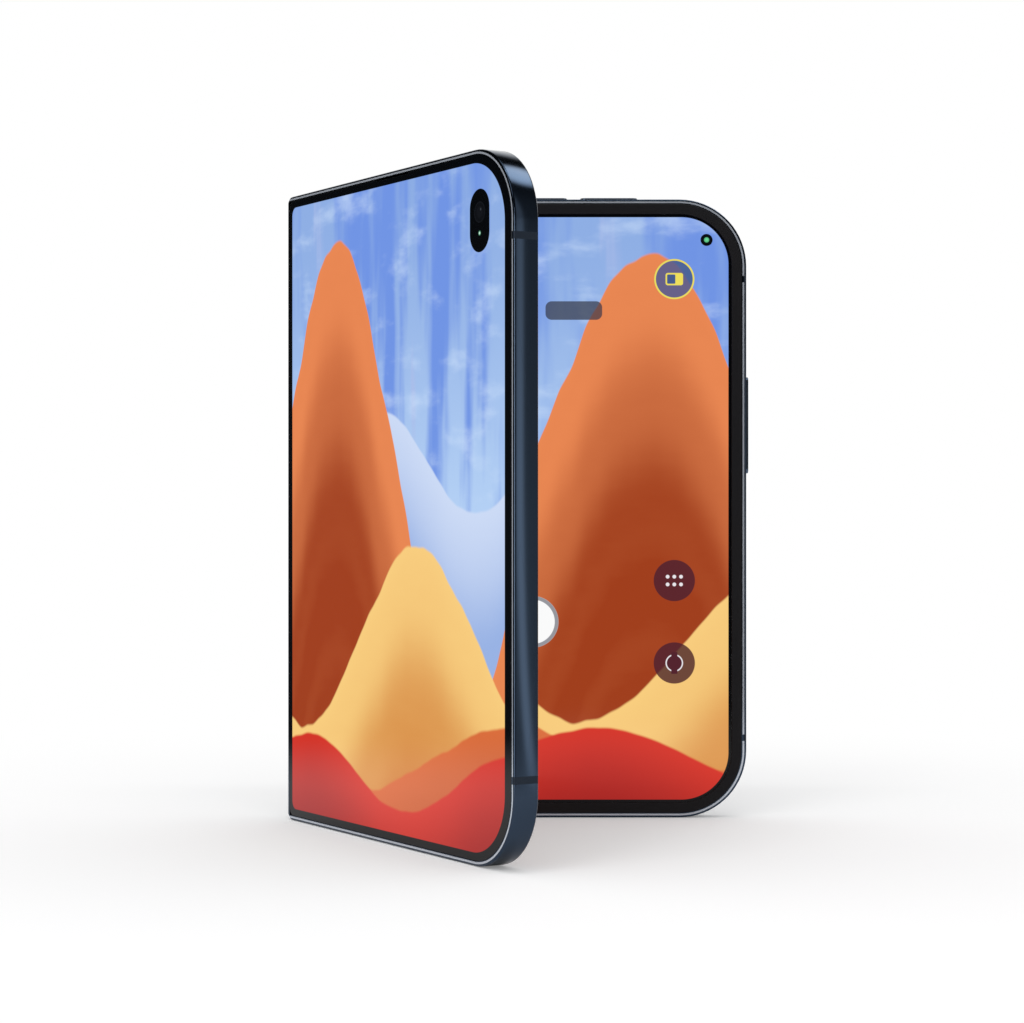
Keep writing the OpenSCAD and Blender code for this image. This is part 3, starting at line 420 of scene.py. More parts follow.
@grain_group
def solder_mask(n: NodeWriter, i: Wires) -> Wires:
    """A circuit board: tracks and pads under the solder mask."""
    x, _, z = n.split(i["Vector"])
    track = n.out(
        "ShaderNodeTexBrick", "Fac", {"offset": 0.37, "squash": 0.6, "squash_frequency": 3},
        Vector=n.join(x, z, 0.0) + (1.0, 1.0, 0.0), Scale=i["Scale"], Mortar_Size=0.035,
    )
    spots = n.out(
        "ShaderNodeTexVoronoi", "Distance", Vector=i["Vector"], Scale=i["Scale"] * 1.7
    )
    pad = 1.0 - n.smooth(spots, 0.16, 0.2)
    made = grain_result(n, i, n.noise(i["Vector"], 300.0), n.noise(i["Vector"], 4000.0))
    color = n.mix(track * 0.55, made["Color"], tint(70, 150, 96))
    color = n.mix(pad * 0.8, color, tint(214, 176, 96))
    return {**made, "Color": color, "Height": n.math("MAXIMUM", track, pad)}


@grain_group
def foil_wrinkle(n: NodeWriter, i: Wires) -> Wires:
    """A battery's pouch foil: soft dents and fine wrinkles."""
    dents = n.out(
        "ShaderNodeTexVoronoi", "Distance", {"feature": "SMOOTH_F1"}, Vector=i["Vector"],
        Scale=i["Scale"] * 0.2,
    )
    return grain_result(n, i, dents, n.noise(i["Vector"], i["Scale"], 6.0))


@shader_group(kinds(VECTOR="Vector, Centre, Half Size", VALUE="Radius"), kinds(VALUE="Mask"))
def rounded_window(n: NodeWriter, i: Wires) -> Wires:
    """1 inside a rectangle with round corners and 0 outside."""
    away = n.vector("ABSOLUTE", i["Vector"] - i["Centre"]) - i["Half Size"]
    x, y = (part + i["Radius"] for part in n.split(away)[:2])
    corner = n.vector("LENGTH", n.join(n.math("MAXIMUM", x, 0.0), n.math("MAXIMUM", y, 0.0), 0.0))
    inner = n.math("MINIMUM", n.math("MAXIMUM", x, y), 0.0)
    return {"Mask": 1.0 - n.smooth(corner + inner - i["Radius"], -WINDOW_SOFT, WINDOW_SOFT)}


@shader_group(
    kinds(VECTOR="Vector, Centre", VALUE="Radius, Ring Width"), kinds(VALUE="Disc, Ring")
)
def round_mark(n: NodeWriter, i: Wires) -> Wires:
    """A round mark on a screen: a disc and the ring round it."""
    outer = n.vector("LENGTH", (i["Vector"] - i["Centre"]) * (1.0, 1.0, 0.0)) - i["Radius"]
    disc = 1.0 - n.smooth(outer, -MARK_SOFT, MARK_SOFT)
    return {"Disc": disc, "Ring": disc * n.smooth(outer + i["Ring Width"], -MARK_SOFT, MARK_SOFT)}


@dataclass(frozen=True)
class Ridge:
    """One rolling hill of the screen's picture, with lengths in mm."""

    base: float
    slope: float
    swell: float
    period: float
    phase: float
    light: Color
    dark: Color
    reach: float = 34.0
    ripple: float = 0.10


RIDGES = (
    Ridge(66, 0.0, 9, 70, 0.4, tint(206, 220, 246), tint(152, 178, 228), 26, 0.04),
    Ridge(56, 0.0, 42, 96, 3.55, tint(236, 138, 84), tint(160, 62, 26), 58, 0.05),
    Ridge(32, 0.0, 17, 88, 0.9, tint(250, 208, 128), tint(214, 138, 66), 40, 0.06),
    Ridge(19, -0.05, 9, 118, 0.9, tint(222, 112, 60), tint(138, 50, 22), 28, 0.06),
    Ridge(9, 0.02, 6, 74, 3.2, tint(216, 50, 34), tint(160, 28, 24), 16, 0.06),
)


@shader_group(kinds(VECTOR="Vector"), kinds(COLOR="Color"))
def dune_picture(n: NodeWriter, i: Wires) -> Wires:
    """The generic picture on the screens: rolling hills under a soft sky."""
    place = n.scaled(i["Vector"], 1 / MM)
    x, y, _ = n.split(place)
    fold = n.noise(place * (1.0, 0.12, 0.0), 0.12, 3.0)
    color = n.mix(n.smooth(y, 30.0, 118.0), tint(190, 218, 250), tint(142, 174, 228))
    color = n.mix(n.smooth(fold, 0.46, 0.66), color, tint(112, 148, 228))
    color = n.mix(n.smooth(fold, 0.40, 0.28) * 0.8, color, tint(172, 188, 232))
    veil = n.noise(place * (0.5, 1.0, 0.0), 0.16, 5.0)
    color = n.mix(n.smooth(veil, 0.50, 0.78) * 0.6, color, tint(206, 226, 252))
    wobble = n.noise(n.join(x * 0.05, 3.0, 0.0), 1.0, 3.0)
    sand = n.noise(place * (0.2, 0.6, 0.0), 0.5, 4.0) * 1.6
    for ridge in RIDGES:
        wave = n.math("SINE", x * (math.tau / ridge.period) + ridge.phase)
        line = wave * ridge.swell + ridge.base + x * ridge.slope + wobble * (ridge.swell * 0.5)
        deep = line - y
        bands = n.math("SINE", deep * 0.30 + sand)
        shade = n.clamp(n.smooth(deep, -2.0, ridge.reach) + bands * ridge.ripple, 0.0, 1.0)
        fill = n.mix(shade, ridge.light, ridge.dark)
        color = n.mix(n.smooth(deep, -0.35, 0.35), color, fill)
    return {"Color": color}


class Grain(Enum):
    """Surface patterns that a finish can have."""

    MOULDED = "moulded"
    DRAWN = "drawn"
    POLISHED = "polished"
    BOARD = "board"
    FOIL = "foil"


GRAIN_GROUPS: dict[Grain, Callable[[], Tree]] = {
    Grain.MOULDED: moulded_grain, Grain.DRAWN: drawn_grain, Grain.POLISHED: polished_grain,
    Grain.BOARD: solder_mask, Grain.FOIL: foil_wrinkle,
}


def new_material(name: str) -> tuple[Material, NodeWriter, bpy.types.Node]:
    """Makes an empty node material.

    Args:
        name: the material's name.

    Returns:
        The material, a writer of its tree and its Principled BSDF.
    """
    material = bpy.data.materials.new(name)
    material.use_nodes = True
    material.node_tree.nodes.clear()
    n = NodeWriter(material.node_tree)
    surface = n.add("ShaderNodeBsdfPrincipled")
    n.set(n.add("ShaderNodeOutputMaterial"), Surface=surface.outputs[0])
    return material, n, surface


def add_bump(n: NodeWriter, surface: bpy.types.Node, height: Wire, depth: float) -> None:
    """Lets a height tilt a surface's normal.

    Args:
        n: writer of the material's tree.
        surface: the Principled BSDF.
        height: height over the surface, 0 to 1.
        depth: depth of a height of 1, in metres.
    """
    n.set(surface, Normal=n.out("ShaderNodeBump", Distance=depth, Height=height))


class Look:
    """Something that writes a material. Its classes give it a name and a record's slot."""

    def write(self, n: NodeWriter, surface: bpy.types.Node) -> None:
        """Writes the material's nodes."""
        raise NotImplementedError

    def material(self) -> Material:
        """Makes the material once and gives it back after that."""
        if self.name not in bpy.data.materials:
            self.write(*new_material(self.name)[1:])
        return bpy.data.materials[self.name]


@dataclass(frozen=True)
class Finish(Look):
    """One finish: a colour with a grain, as the record's slots name them."""

    slot: str
    color: Color
    roughness: float
    metallic: float = 0.0
    grain: Grain = Grain.MOULDED
    scale: float = 2500.0
    spread: float = 0.25
    roughness_spread: float = 0.2
    depth: float = 0.0
    specular: float = 0.5
    coat: float = 0.0
    clear: float = 0.0
    suffix: str = ""

    @property
    def name(self) -> str:
        """The material's name."""
        return f"{self.slot}{self.suffix}_finish"

    def write(self, n: NodeWriter, surface: bpy.types.Node) -> None:
        """Writes the material's nodes."""
        made = n.group(
            GRAIN_GROUPS[self.grain](), Vector=n.out("ShaderNodeTexCoord", "Object"),
            Color=self.color, Scale=self.scale, Spread=self.spread, Roughness=self.roughness,
            Roughness_Spread=self.roughness_spread,
        )
        n.set(
            surface, Base_Color=made["Color"], Metallic=self.metallic,
            Roughness=made["Roughness"] if self.roughness_spread else self.roughness,
            Specular_IOR_Level=self.specular, Coat_Weight=self.coat, Coat_Roughness=0.05,
            Transmission_Weight=self.clear,
        )
        if self.depth:
            add_bump(n, surface, made["Height"], self.depth)


@dataclass(frozen=True)
class RoundLight:
    """A small lit or dark round mark drawn on a screen or lens, with lengths in mm."""

    x: float
    y: float
    radius: float
    fill: Color
    cover: float = 1.0
    ring: Color = (0.0, 0.0, 0.0)
    ring_width: float = 0.0

    def over(self, n: NodeWriter, place: Wire, color: object) -> Wire:
        """Draws the mark over a colour.

        Args:
            n: writer of the material's tree.
            place: flat place on the piece, in metres.
            color: the colour under the mark.

        Returns:
            The colour with the mark.
        """
        mark = n.group(
            round_mark(), Vector=place, Centre=(self.x * MM, self.y * MM, 0.0),
            Radius=self.radius * MM, Ring_Width=self.ring_width * MM,
        )
        color = n.mix(mark["Disc"] * self.cover, color, self.fill)
        return n.mix(mark["Ring"], color, self.ring) if self.ring_width else color


@dataclass(frozen=True)
class Window:
    """A rectangle with round corners on a flat place, with lengths in mm."""

    x: Pair
    y: Pair
    radius: float

    def mask(self, n: NodeWriter, place: Wire) -> Wire:
        """Gives 1 inside the window and 0 outside."""
        (left, right), (low, high) = self.x, self.y
        return n.group(
            rounded_window(), Vector=place, Radius=self.radius * MM,
            Centre=((left + right) / 2 * MM, (low + high) / 2 * MM, 0.0),
            Half_Size=((right - left) / 2 * MM, (high - low) / 2 * MM, 0.0),
        )["Mask"]


@dataclass(frozen=True)
class EdgedFinish(Finish):
    """Metal of a half's frame: a painted highlight line along its edges and slightly crowned sides, in mm."""

    # Edge colour, its metalness, the line's insets and depths draw a painted highlight: a bright line standing in
    # for the edges' reflection.
    edge: Color = tint(206, 213, 224)
    edge_metallic: float = 0.5
    line: Pair = (0.42, 0.76)
    line_depth: Pair = (0.04, 0.14)
    crown: float = 0.11
    width: float = 85.0
    height: float = 120.0
    thickness: float = 4.75
    corner: float = 13.0
    band: Pair = (43.875, 45.125)

    def inside(self, n: NodeWriter, flat: Wire, inset: float) -> Wire:
        """Gives 1 where a place is further than inset from the half's outline."""
        low, high = inset, self.height - inset
        outline = Window((-self.width, self.width - inset), (low, high), self.corner - inset)
        return outline.mask(n, flat)

    def write(self, n: NodeWriter, surface: bpy.types.Node) -> None:
        """Writes the metal, then its painted highlight line along the edges, which stops at the bands, and its
        crown.
        """
        super().write(n, surface)
        flat = n.flat_place()
        depth = n.split(flat)[2]
        level = flat * (1.0, 1.0, 0.0)
        outer, inner = (self.inside(n, level, inset) for inset in self.line)
        sunk = n.math("MINIMUM", depth, self.thickness * MM - depth)
        near = 1.0 - n.smooth(sunk, *(part * MM for part in self.line_depth))
        mirrored = n.vector("ABSOLUTE", level - (0.0, self.height / 2 * MM, 0.0))
        band = Window((self.width - 1.0, self.width + 1.0), self.band, 0.05).mask(n, mirrored)
        # Painted highlight: the lip's outer part and the start of its rounding are brightened.
        painted_highlight = (outer - inner) * near * (1.0 - band)
        plain = surface.inputs["Base Color"].links[0].from_socket
        n.set(
            surface, Base_Color=n.mix(painted_highlight, plain, self.edge),
            Metallic=painted_highlight * (self.edge_metallic - self.metallic) + self.metallic,
        )
        waist = self.thickness / 2 * MM
        away = (depth - waist) / waist
        add_bump(n, surface, -(away * away), self.crown * MM)


@dataclass(frozen=True)
class Panel:
    """A plain rectangle with round corners drawn on a screen."""

    window: Window
    fill: Color
    cover: float = 1.0

    def over(self, n: NodeWriter, place: Wire, color: object) -> Wire:
        """Draws the rectangle over a colour.

        Args:
            n: writer of the material's tree.
            place: flat place on the piece, in metres.
            color: the colour under the rectangle.

        Returns:
            The colour with the rectangle.
        """
        return n.mix(self.window.mask(n, place) * self.cover, color, self.fill)


@dataclass(frozen=True)
class ScreenFinish(Look):
    """A lit screen: the picture inside its windows, marks on it, black openings, a border and lens marks with
    painted reflections.
    """

    name: str
    slot: str
    windows: tuple[Window, ...] = ()
    marks: tuple[RoundLight | Panel, ...] = ()
    openings: tuple[Window, ...] = ()
    # Lens marks drawn over everything: dark lens discs with a painted glint and painted coating reflections, which
    # glow with the screen.
    lights: tuple[RoundLight, ...] = ()
    shift: Triple = (0.0, 0.0, 0.0)
    border: Color = tint(3, 5, 9)
    roughness: float = 0.06
    wave: float = 0.0

    def lit(self, n: NodeWriter, flat: Wire) -> Wire:
        """Gives the colour that the screen gives off.

        Args:
            n: writer of the material's tree.
            flat: flat place on the piece, in metres.

        Returns:
            The colour.
        """
        color: object = (0.0, 0.0, 0.0)
        if self.windows:
            moved = flat + tuple(part * MM for part in self.shift)
            color = n.group(dune_picture(), Vector=moved)["Color"]
            for mark in self.marks:
                color = mark.over(n, flat, color)
            masks = [window.mask(n, flat) for window in self.windows]
            masks += [1.0 - opening.mask(n, flat) for opening in self.openings]
            color = n.mix(math.prod(masks[1:], start=masks[0]), (0.0, 0.0, 0.0), color)
        # Lens marks go last; their painted glint and reflections glow like the screen.
        for light in self.lights:
            color = light.over(n, flat, color)
        return color

    def write(self, n: NodeWriter, surface: bpy.types.Node) -> None:
        """Writes the material's nodes."""
        place = n.flat_place()
        lit = self.lit(n, place * (1.0, 1.0, 0.0))
        made = n.group(
            polished_grain(), Vector=n.out("ShaderNodeTexCoord", "Object"), Color=self.border,
            Scale=260.0, Spread=0.2, Roughness=self.roughness, Roughness_Spread=0.05,
        )
        n.set(
            surface, Base_Color=made["Color"], Roughness=made["Roughness"],
            Specular_IOR_Level=0.25, Emission_Strength=1.0,
            Emission_Color=n.mix(n.ray("Diffuse") * 0.85, lit, (0.0, 0.0, 0.0)),
        )
        if self.wave:
            add_bump(n, surface, n.noise(place, 90.0, 1.0), self.wave)


@dataclass(frozen=True)
class Half:
    """Flat coordinates of one half: x out from the fold, y along it, depth below its screen."""

    body: str
    axis: Vector
    across: Vector
    inward: Vector
    pivot_x: float = 1.15
    pivot_depth: float = 0.85

    def at(self, x: float, y: float, depth: float) -> Vector:
        """Place in the row frame, in metres, of flat coordinates in mm."""
        flat = self.across * (x - self.pivot_x) + self.inward * (depth - self.pivot_depth)
        return self.axis + flat * MM + Vector((0, 0, y * MM))

    def turn(self, outward: int) -> Euler:
        """Turn of a shape whose top faces the half's back (1) or its screen (-1)."""
        return Euler((-outward * math.pi / 2, 0.0, math.atan2(-self.inward.x, self.inward.y)))

    def flat(self, place: Vector) -> Vector:
        """Flat coordinates, in mm, of a place in the row frame."""
        away = (place - self.axis) / MM
        return Vector((
            away.dot(self.across) + self.pivot_x, away.z,
            away.dot(self.inward) + self.pivot_depth,
        ))


def joint_axis(name: str) -> Vector:
    """Foot of a joint's upright axis in the row frame."""
    x, y, _ = next(joint["pos_m"] for joint in frame["joints"] if joint["name"] == name)
    return Vector((x, y, 0.0))


FOLD = math.radians(60.5)
REAR = Half("rear_half", joint_axis("rear_fold"), Vector((1, 0, 0)), Vector((0, 1, 0)))
FRONT = Half(
    "front_half", joint_axis("front_fold"),
    Vector((-math.cos(2 * FOLD), -math.sin(2 * FOLD), 0)),
    Vector((-math.sin(2 * FOLD), math.cos(2 * FOLD), 0)),
)


def new_piece(name: str, data: bpy.types.ID) -> Piece:
    """Puts a mesh, lamp or camera into the scene as an object."""
    piece = bpy.data.objects.new(name, data)
    bpy.context.scene.collection.objects.link(piece)
    return piece


def settle(piece: Piece) -> Piece:
    """Turns a piece's modifiers into its plain mesh."""
    graph = bpy.context.evaluated_depsgraph_get()
    mesh = bpy.data.meshes.new_from_object(piece.evaluated_get(graph))
    piece.modifiers.clear()
    piece.data = mesh
    return piece


@contextmanager
def editing(mesh: bpy.types.Mesh, write_back: bool = True) -> Iterator[bmesh.types.BMesh]:
    """Opens a mesh for editing or reading.

    Args:
        mesh: the mesh.
        write_back: whether what is changed goes back into it.

    Yields:
        The open shape.
    """
    shape = bmesh.new()
    shape.from_mesh(mesh)
    yield shape
    if write_back:
        shape.to_mesh(mesh)
    shape.free()


def smooth_faces(mesh: bpy.types.Mesh, angle: float = 30.0) -> None:
    """Shades a mesh smoothly, apart from edges sharper than an angle in degrees."""
    mesh.polygons.foreach_set("use_smooth", [True] * len(mesh.polygons))
    mesh.set_sharp_from_angle(angle=math.radians(angle))


def welded_copy(node: str, bevel: float = 0.0, angle: float = 30.0) -> Piece:
    """Copies a node of the construction with its loose triangles merged and shaded smoothly.

    Args:
        node: name of the node.
        bevel: width of the edges' bevel in mm, or 0.
        angle: edges sharper than this, in degrees, stay sharp or are bevelled.

    Returns:
        The new piece.
    """
    mesh = frame["nodes"][node].data.copy()
    with editing(mesh) as shape:
        bmesh.ops.remove_doubles(shape, verts=shape.verts, dist=WELD)
        bmesh.ops.dissolve_limit(
            shape, angle_limit=math.radians(0.5), verts=shape.verts, edges=shape.edges
        )
    mesh.materials.clear()
    piece = new_piece("smooth_" + node, mesh)
    if bevel:
        modifier = piece.modifiers.new("edges", "BEVEL")
        modifier.width, modifier.segments = bevel * MM, 3
        modifier.limit_method, modifier.angle_limit = "ANGLE", math.radians(angle)
        settle(piece)
    smooth_faces(piece.data, angle)
    # Large faces rule the normals, so that flat faces shade flat beside their rounds.
    modifier = piece.modifiers.new("even", "WEIGHTED_NORMAL")
    modifier.keep_sharp, modifier.mode = True, "FACE_AREA_WITH_ANGLE"
    return settle(piece)


Draw = Callable[[NodeWriter, Wires], Wire]


def shape_tree(takes: dict[str, Kind]) -> Callable[[Draw], Callable[[Material], Tree]]:
    """Turns a function that writes nodes into one that makes their geometry tree.

    Args:
        takes: the tree's inputs beside the geometry that it starts from. With a Turn among
            them, the shape is drawn in mm with its top towards +Z and put at each point.

    Returns:
        The decorator. Its function gets a writer and the inputs by name and returns the
        shape. It becomes one that gives the tree, which ends in real faces of a material.
    """
    def decorate(write: Draw) -> Callable[[Material], Tree]:
        """Wraps the writing function."""
        @wraps(write)
        def tree(material: Material) -> Tree:
            """Makes the tree."""
            start = {"Geometry": Kind.SHAPE}
            n, i, result = open_tree(
                write.__name__, "GeometryNodeTree", {**start, **takes}, start
            )
            n.tree.is_modifier = True
            shape = write(n, i)
            if "Turn" in takes:
                shape = n.geometry(
                    "InstanceOnPoints", Points=i["Geometry"], Instance=shape,
                    Rotation=n.out("FunctionNodeEulerToRotation", Euler=i["Turn"]),
                    Scale=(MM, MM, MM),
                )
            real = n.geometry("RealizeInstances", Geometry=shape)
            n.set(result, Geometry=n.geometry("SetMaterial", Geometry=real, Material=material))
            return n.tree
        return tree
    return decorate


def grow(name: str, tree: Tree, places: Sequence[Vector] = (), **sizes: object) -> Piece:
    """Runs a geometry tree and keeps its result as a plain mesh with its faces outward.

    Args:
        name: name of the new piece.
        tree: the tree.
        places: points in the row frame that it starts from.
        sizes: its inputs by name, with _ for a blank.

    Returns:
        The new piece.
    """
    mesh = bpy.data.meshes.new(name)
    mesh.from_pydata([tuple(place) for place in places], [], [])
    piece = new_piece(name, mesh)
    modifier = piece.modifiers.new("shape", "NODES")
    modifier.node_group = tree
    for socket in tree.interface.items_tree:
        if socket.in_out == "INPUT" and socket.name.replace(" ", "_") in sizes:
            modifier[socket.identifier] = sizes[socket.name.replace(" ", "_")]
    settle(piece)
    with editing(piece.data) as shape:
        bmesh.ops.recalc_face_normals(shape, faces=shape.faces)
    smooth_faces(piece.data)
    return piece


def loose_parts(node: str) -> list[list[Vector]]:
    """Places of the corners of each loose part of a node, in the row frame."""
    parts, seen = [], set()
    with editing(frame["nodes"][node].data, write_back=False) as shape:
        bmesh.ops.remove_doubles(shape, verts=shape.verts, dist=WELD)
        for first in shape.verts:
            if first in seen:
                continue
            seen.add(first)
            part = [first]
            for vertex in part:
                others = (edge.other_vert(vertex) for edge in vertex.link_edges)
                fresh = [other for other in others if other not in seen]
                seen.update(fresh)
                part += fresh
            parts.append([vertex.co.copy() for vertex in part])
    return parts


def top_places(node: str, half: Half, outward: int) -> list[Vector]:
    """Middle of the top of each loose part of a node.

    Args:
        node: the node.
        half: the half that it lies on.
        outward: 1 where the tops face the half's back, or -1 where they face its screen.

    Returns:
        The places in the row frame.
    """
    places = []
    for part in loose_parts(node):
        flat = [half.flat(corner) for corner in part]
        x, y, low = (min(corner[k] for corner in flat) for k in range(3))
        across, along, high = (max(corner[k] for corner in flat) for k in range(3))
        places.append(half.at((x + across) / 2, (y + along) / 2, high if outward > 0 else low))
    return places


@shape_tree(kinds(
    VECTOR="Turn", COUNT="Turns",
    VALUE="Top Radius, Under Radius, Head Height, Shank Radius, Length, Thread, Thread Pitch",
))
def screw(n: NodeWriter, i: Wires) -> Wire:
    """A small screw: a head with a cross recess, a shank and its thread."""
    top, tall, length, pitch = (
        i[name] for name in ("Top Radius", "Head Height", "Length", "Thread Pitch")
    )
    head = n.geometry(
        "MeshCone", Vertices=32, Radius_Top=top, Radius_Bottom=i["Under Radius"], Depth=tall
    )
    shank = n.geometry(
        "MeshCylinder", Vertices=20, Radius=i["Shank Radius"], Depth=length - tall * 0.5
    )
    arms = [
        n.geometry("MeshCube", Size=n.join(top * wide, top * deep, tall * 1.2))
        for wide, deep in ((1.15, 0.24), (0.24, 1.15))
    ]
    solid = (n.lifted(head, -tall), n.lifted(shank, (length + tall * 0.5) * -0.5))
    cut = n.gather("MeshBoolean", 1, arms, operation="DIFFERENCE")
    n.feed(cut.socket.node.inputs[0], n.gather("MeshBoolean", 1, solid, operation="UNION"))
    ring = n.geometry(
        "MeshCone", Vertices=20, Radius_Top=0.0, Radius_Bottom=i["Shank Radius"] + i["Thread"],
        Depth=pitch,
    )
    turns = n.geometry(
        "MeshLine", Count=i["Turns"], Start_Location=n.up(-length), Offset=n.up(pitch)
    )
    thread = n.geometry("InstanceOnPoints", Points=turns, Instance=ring)
    return n.gather("JoinGeometry", 0, (cut, thread))


@shape_tree(kinds(VECTOR="Turn", VALUE="Rotations, Inner Radius, Outer Radius, Wire Radius"))
def coil(n: NodeWriter, i: Wires) -> Wire:
    """A flat coil wound from round wire."""
    path = n.geometry(
        "CurveSpiral", Resolution=56, Rotations=i["Rotations"], Start_Radius=i["Inner Radius"],
        End_Radius=i["Outer Radius"], Height=0.0,
    )
    wire = n.geometry("CurvePrimitiveCircle", Resolution=8, Radius=i["Wire Radius"])
    winding = n.geometry("CurveToMesh", Curve=path, Profile_Curve=wire, Fill_Caps=True)
    return n.lifted(winding, -i["Wire Radius"])


@shape_tree(kinds(
    VECTOR="Turn", COUNT="Rings",
    VALUE="Outer Radius, Step In, Step Down, Ring Width, Ring Height",
))
def stepped_rings(n: NodeWriter, i: Wires) -> Wire:
    """Rings of one axis, each smaller and lower than the one before."""
    ring = n.geometry(
        "CurveToMesh",
        Curve=n.geometry("CurvePrimitiveCircle", Resolution=56, Radius=i["Outer Radius"]),
        Profile_Curve=n.geometry(
            "CurvePrimitiveQuadrilateral", Width=i["Ring Width"], Height=i["Ring Height"]
        ),
    )
    steps = n.geometry(
        "MeshLine", Count=i["Rings"], Start_Location=n.up(i["Ring Height"] * -0.5),
        Offset=n.up(-i["Step Down"]),
    )
    size = 1.0 - n.geometry("InputIndex") * (i["Step In"] / i["Outer Radius"])
    return n.geometry(
        "InstanceOnPoints", Points=steps, Instance=ring, Scale=n.join(size, size, 1.0)
    )


@shape_tree(kinds(VECTOR="Turn, Block Size", COUNT="Count", VALUE="Pitch, Row Gap"))
def block_rows(n: NodeWriter, i: Wires) -> Wire:
    """Equal small blocks in two rows, one above the other."""
    start = (i["Count"] - 1.0) * -0.5 * i["Pitch"]
    rows = [
        n.geometry(
            "MeshLine", Count=i["Count"], Offset=n.join(i["Pitch"], 0.0, 0.0),
            Start_Location=n.join(start, i["Row Gap"] * side, 0.0),
        )
        for side in (-0.5, 0.5)
    ]
    block = n.geometry("MeshCube", Size=i["Block Size"])
    points = n.gather("JoinGeometry", 0, rows)
    return n.geometry("InstanceOnPoints", Points=points, Instance=block)


@shape_tree(kinds(
    VECTOR="Turn, Smallest, Largest", COUNT="Columns, Rows, Seed", VALUE="Width, Length, Filled"
))
def chip_field(n: NodeWriter, i: Wires) -> Wire:
    """Small parts on a board: a grid of blocks, each of its own random size."""
    grid = n.geometry(
        "MeshGrid", Size_X=i["Width"], Size_Y=i["Length"], Vertices_X=i["Columns"],
        Vertices_Y=i["Rows"],
    )
    chance = n.add("FunctionNodeRandomValue", data_type="BOOLEAN")
    size = n.add("FunctionNodeRandomValue", data_type="FLOAT_VECTOR")
    for node, place, value in (
        (chance, 6, i["Filled"]), (chance, 8, i["Seed"]), (size, 0, i["Smallest"]),
        (size, 1, i["Largest"]), (size, 8, i["Seed"] + 1.0),
    ):
        n.feed(node.inputs[place], value)
    return n.geometry(
        "InstanceOnPoints", Points=grid, Selection=chance.outputs[3], Scale=size.outputs[0],
        Instance=n.lifted(n.geometry("MeshCube", Size=(1.0, 1.0, 1.0)), 0.5),
    )


@shape_tree(kinds(
    VECTOR="Axis", COUNT="Steps",
    VALUE="Side, Bend Length, Thickness, Low, High, Fold, Pivot X, Pivot Depth",
))
def screen_bend(n: NodeWriter, i: Wires) -> Wire:
    """One half of the folding screen's strip, bent by its rule.

    Each point turns about its half's fold axis by a share of the fold that grows smoothly
    from the fold line.
    """
    tall = i["High"] - i["Low"]
    size = n.join(i["Bend Length"], i["Thickness"], tall)
    x, y, z = n.split(n.geometry("InputPosition"))
    along, depth = x + i["Bend Length"] * 0.5, y + i["Thickness"] * 0.5
    height = z + tall * 0.5 + i["Low"]
    stored = n.out(
        "GeometryNodeStoreNamedAttribute", 0, {"data_type": "FLOAT_VECTOR"}, Name=FLAT_PLACE,
        Geometry=n.geometry("MeshCube", Size=size, Vertices_X=i["Steps"]),
        Value=n.join(along * i["Side"], height, depth),
    )
    angle = n.smooth(along / i["Bend Length"], 0.0, 1.0) * i["Fold"]
    u, v = along - i["Pivot X"], i["Pivot Depth"] - depth
    cosine, sine = n.math("COSINE", angle), n.math("SINE", angle)
    away = (i["Pivot X"] + (u * cosine - v * sine)) * i["Side"] - i["Pivot X"]
    turned = n.out(
        "ShaderNodeVectorRotate", 0, {"rotation_type": "Z_AXIS"}, Angle=i["Fold"],
        Vector=n.join(away, -(u * sine + v * cosine), height),
    )
    return n.geometry("SetPosition", Geometry=stored, Position=turned + i["Axis"])


def write_flat_places(piece: Piece, half: Half, side: float = 1.0) -> None:
    """Stores every point's flat coordinates, in metres, for the screen's picture.

    Args:
        piece: the screen piece.
        half: the half that it lies on.
        side: 1, or -1 where the picture runs on past the fold.
    """
    attribute = piece.data.attributes.new(FLAT_PLACE, "FLOAT_VECTOR", "POINT")
    for vertex, entry in zip(piece.data.vertices, attribute.data):
        x, y, depth = half.flat(vertex.co)
        entry.vector = (side * x * MM, y * MM, depth * MM)


def place(piece: Piece, body: str, look: Look, *stands_for: str) -> Piece:
    """Gives a finished piece its material and body.

    Args:
        piece: the finished piece.
        body: body that it rides on.
        look: its look.
        stands_for: nodes that it replaces.

    Returns:
        The piece.
    """
    piece.data.materials.clear()
    piece.data.materials.append(look.material())
    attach(piece, body)
    if stands_for:
        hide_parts(*stands_for)
    LOG.info("%s rides on %s, %d faces", piece.name, body, len(piece.data.polygons))
    return piece


BODY_OF = {
    node: body for body, nodes in frame["record"]["behaviour"]["bodies"].items() for node in nodes
}


def polish(
    node: str, look: Look, bevel: float = 0.0, angle: float = 30.0, half: Half | None = None,
    side: float = 1.0,
) -> Piece:
    """Replaces a node by its smoothly shaded copy.

    Args:
        node: name of the node.
        look: its look.
        bevel: width of the edges' bevel in mm, or 0.
        angle: edges sharper than this, in degrees, stay sharp or are bevelled.
        half: the half whose flat coordinates are stored on it, if any.
        side: 1, or -1 where the picture runs on past the fold.

    Returns:
        The new piece.
    """
    piece = welded_copy(node, bevel, angle)
    if half:
        write_flat_places(piece, half, side)
    return place(piece, BODY_OF[node], look, node)


def dress(nodes: str, finish: Finish) -> None:
    """Gives nodes whose shape is right, named with blanks between, a finish."""
    for node in nodes.split():
        mesh = frame["nodes"][node].data
        mesh.materials.clear()
        mesh.materials.append(finish.material())


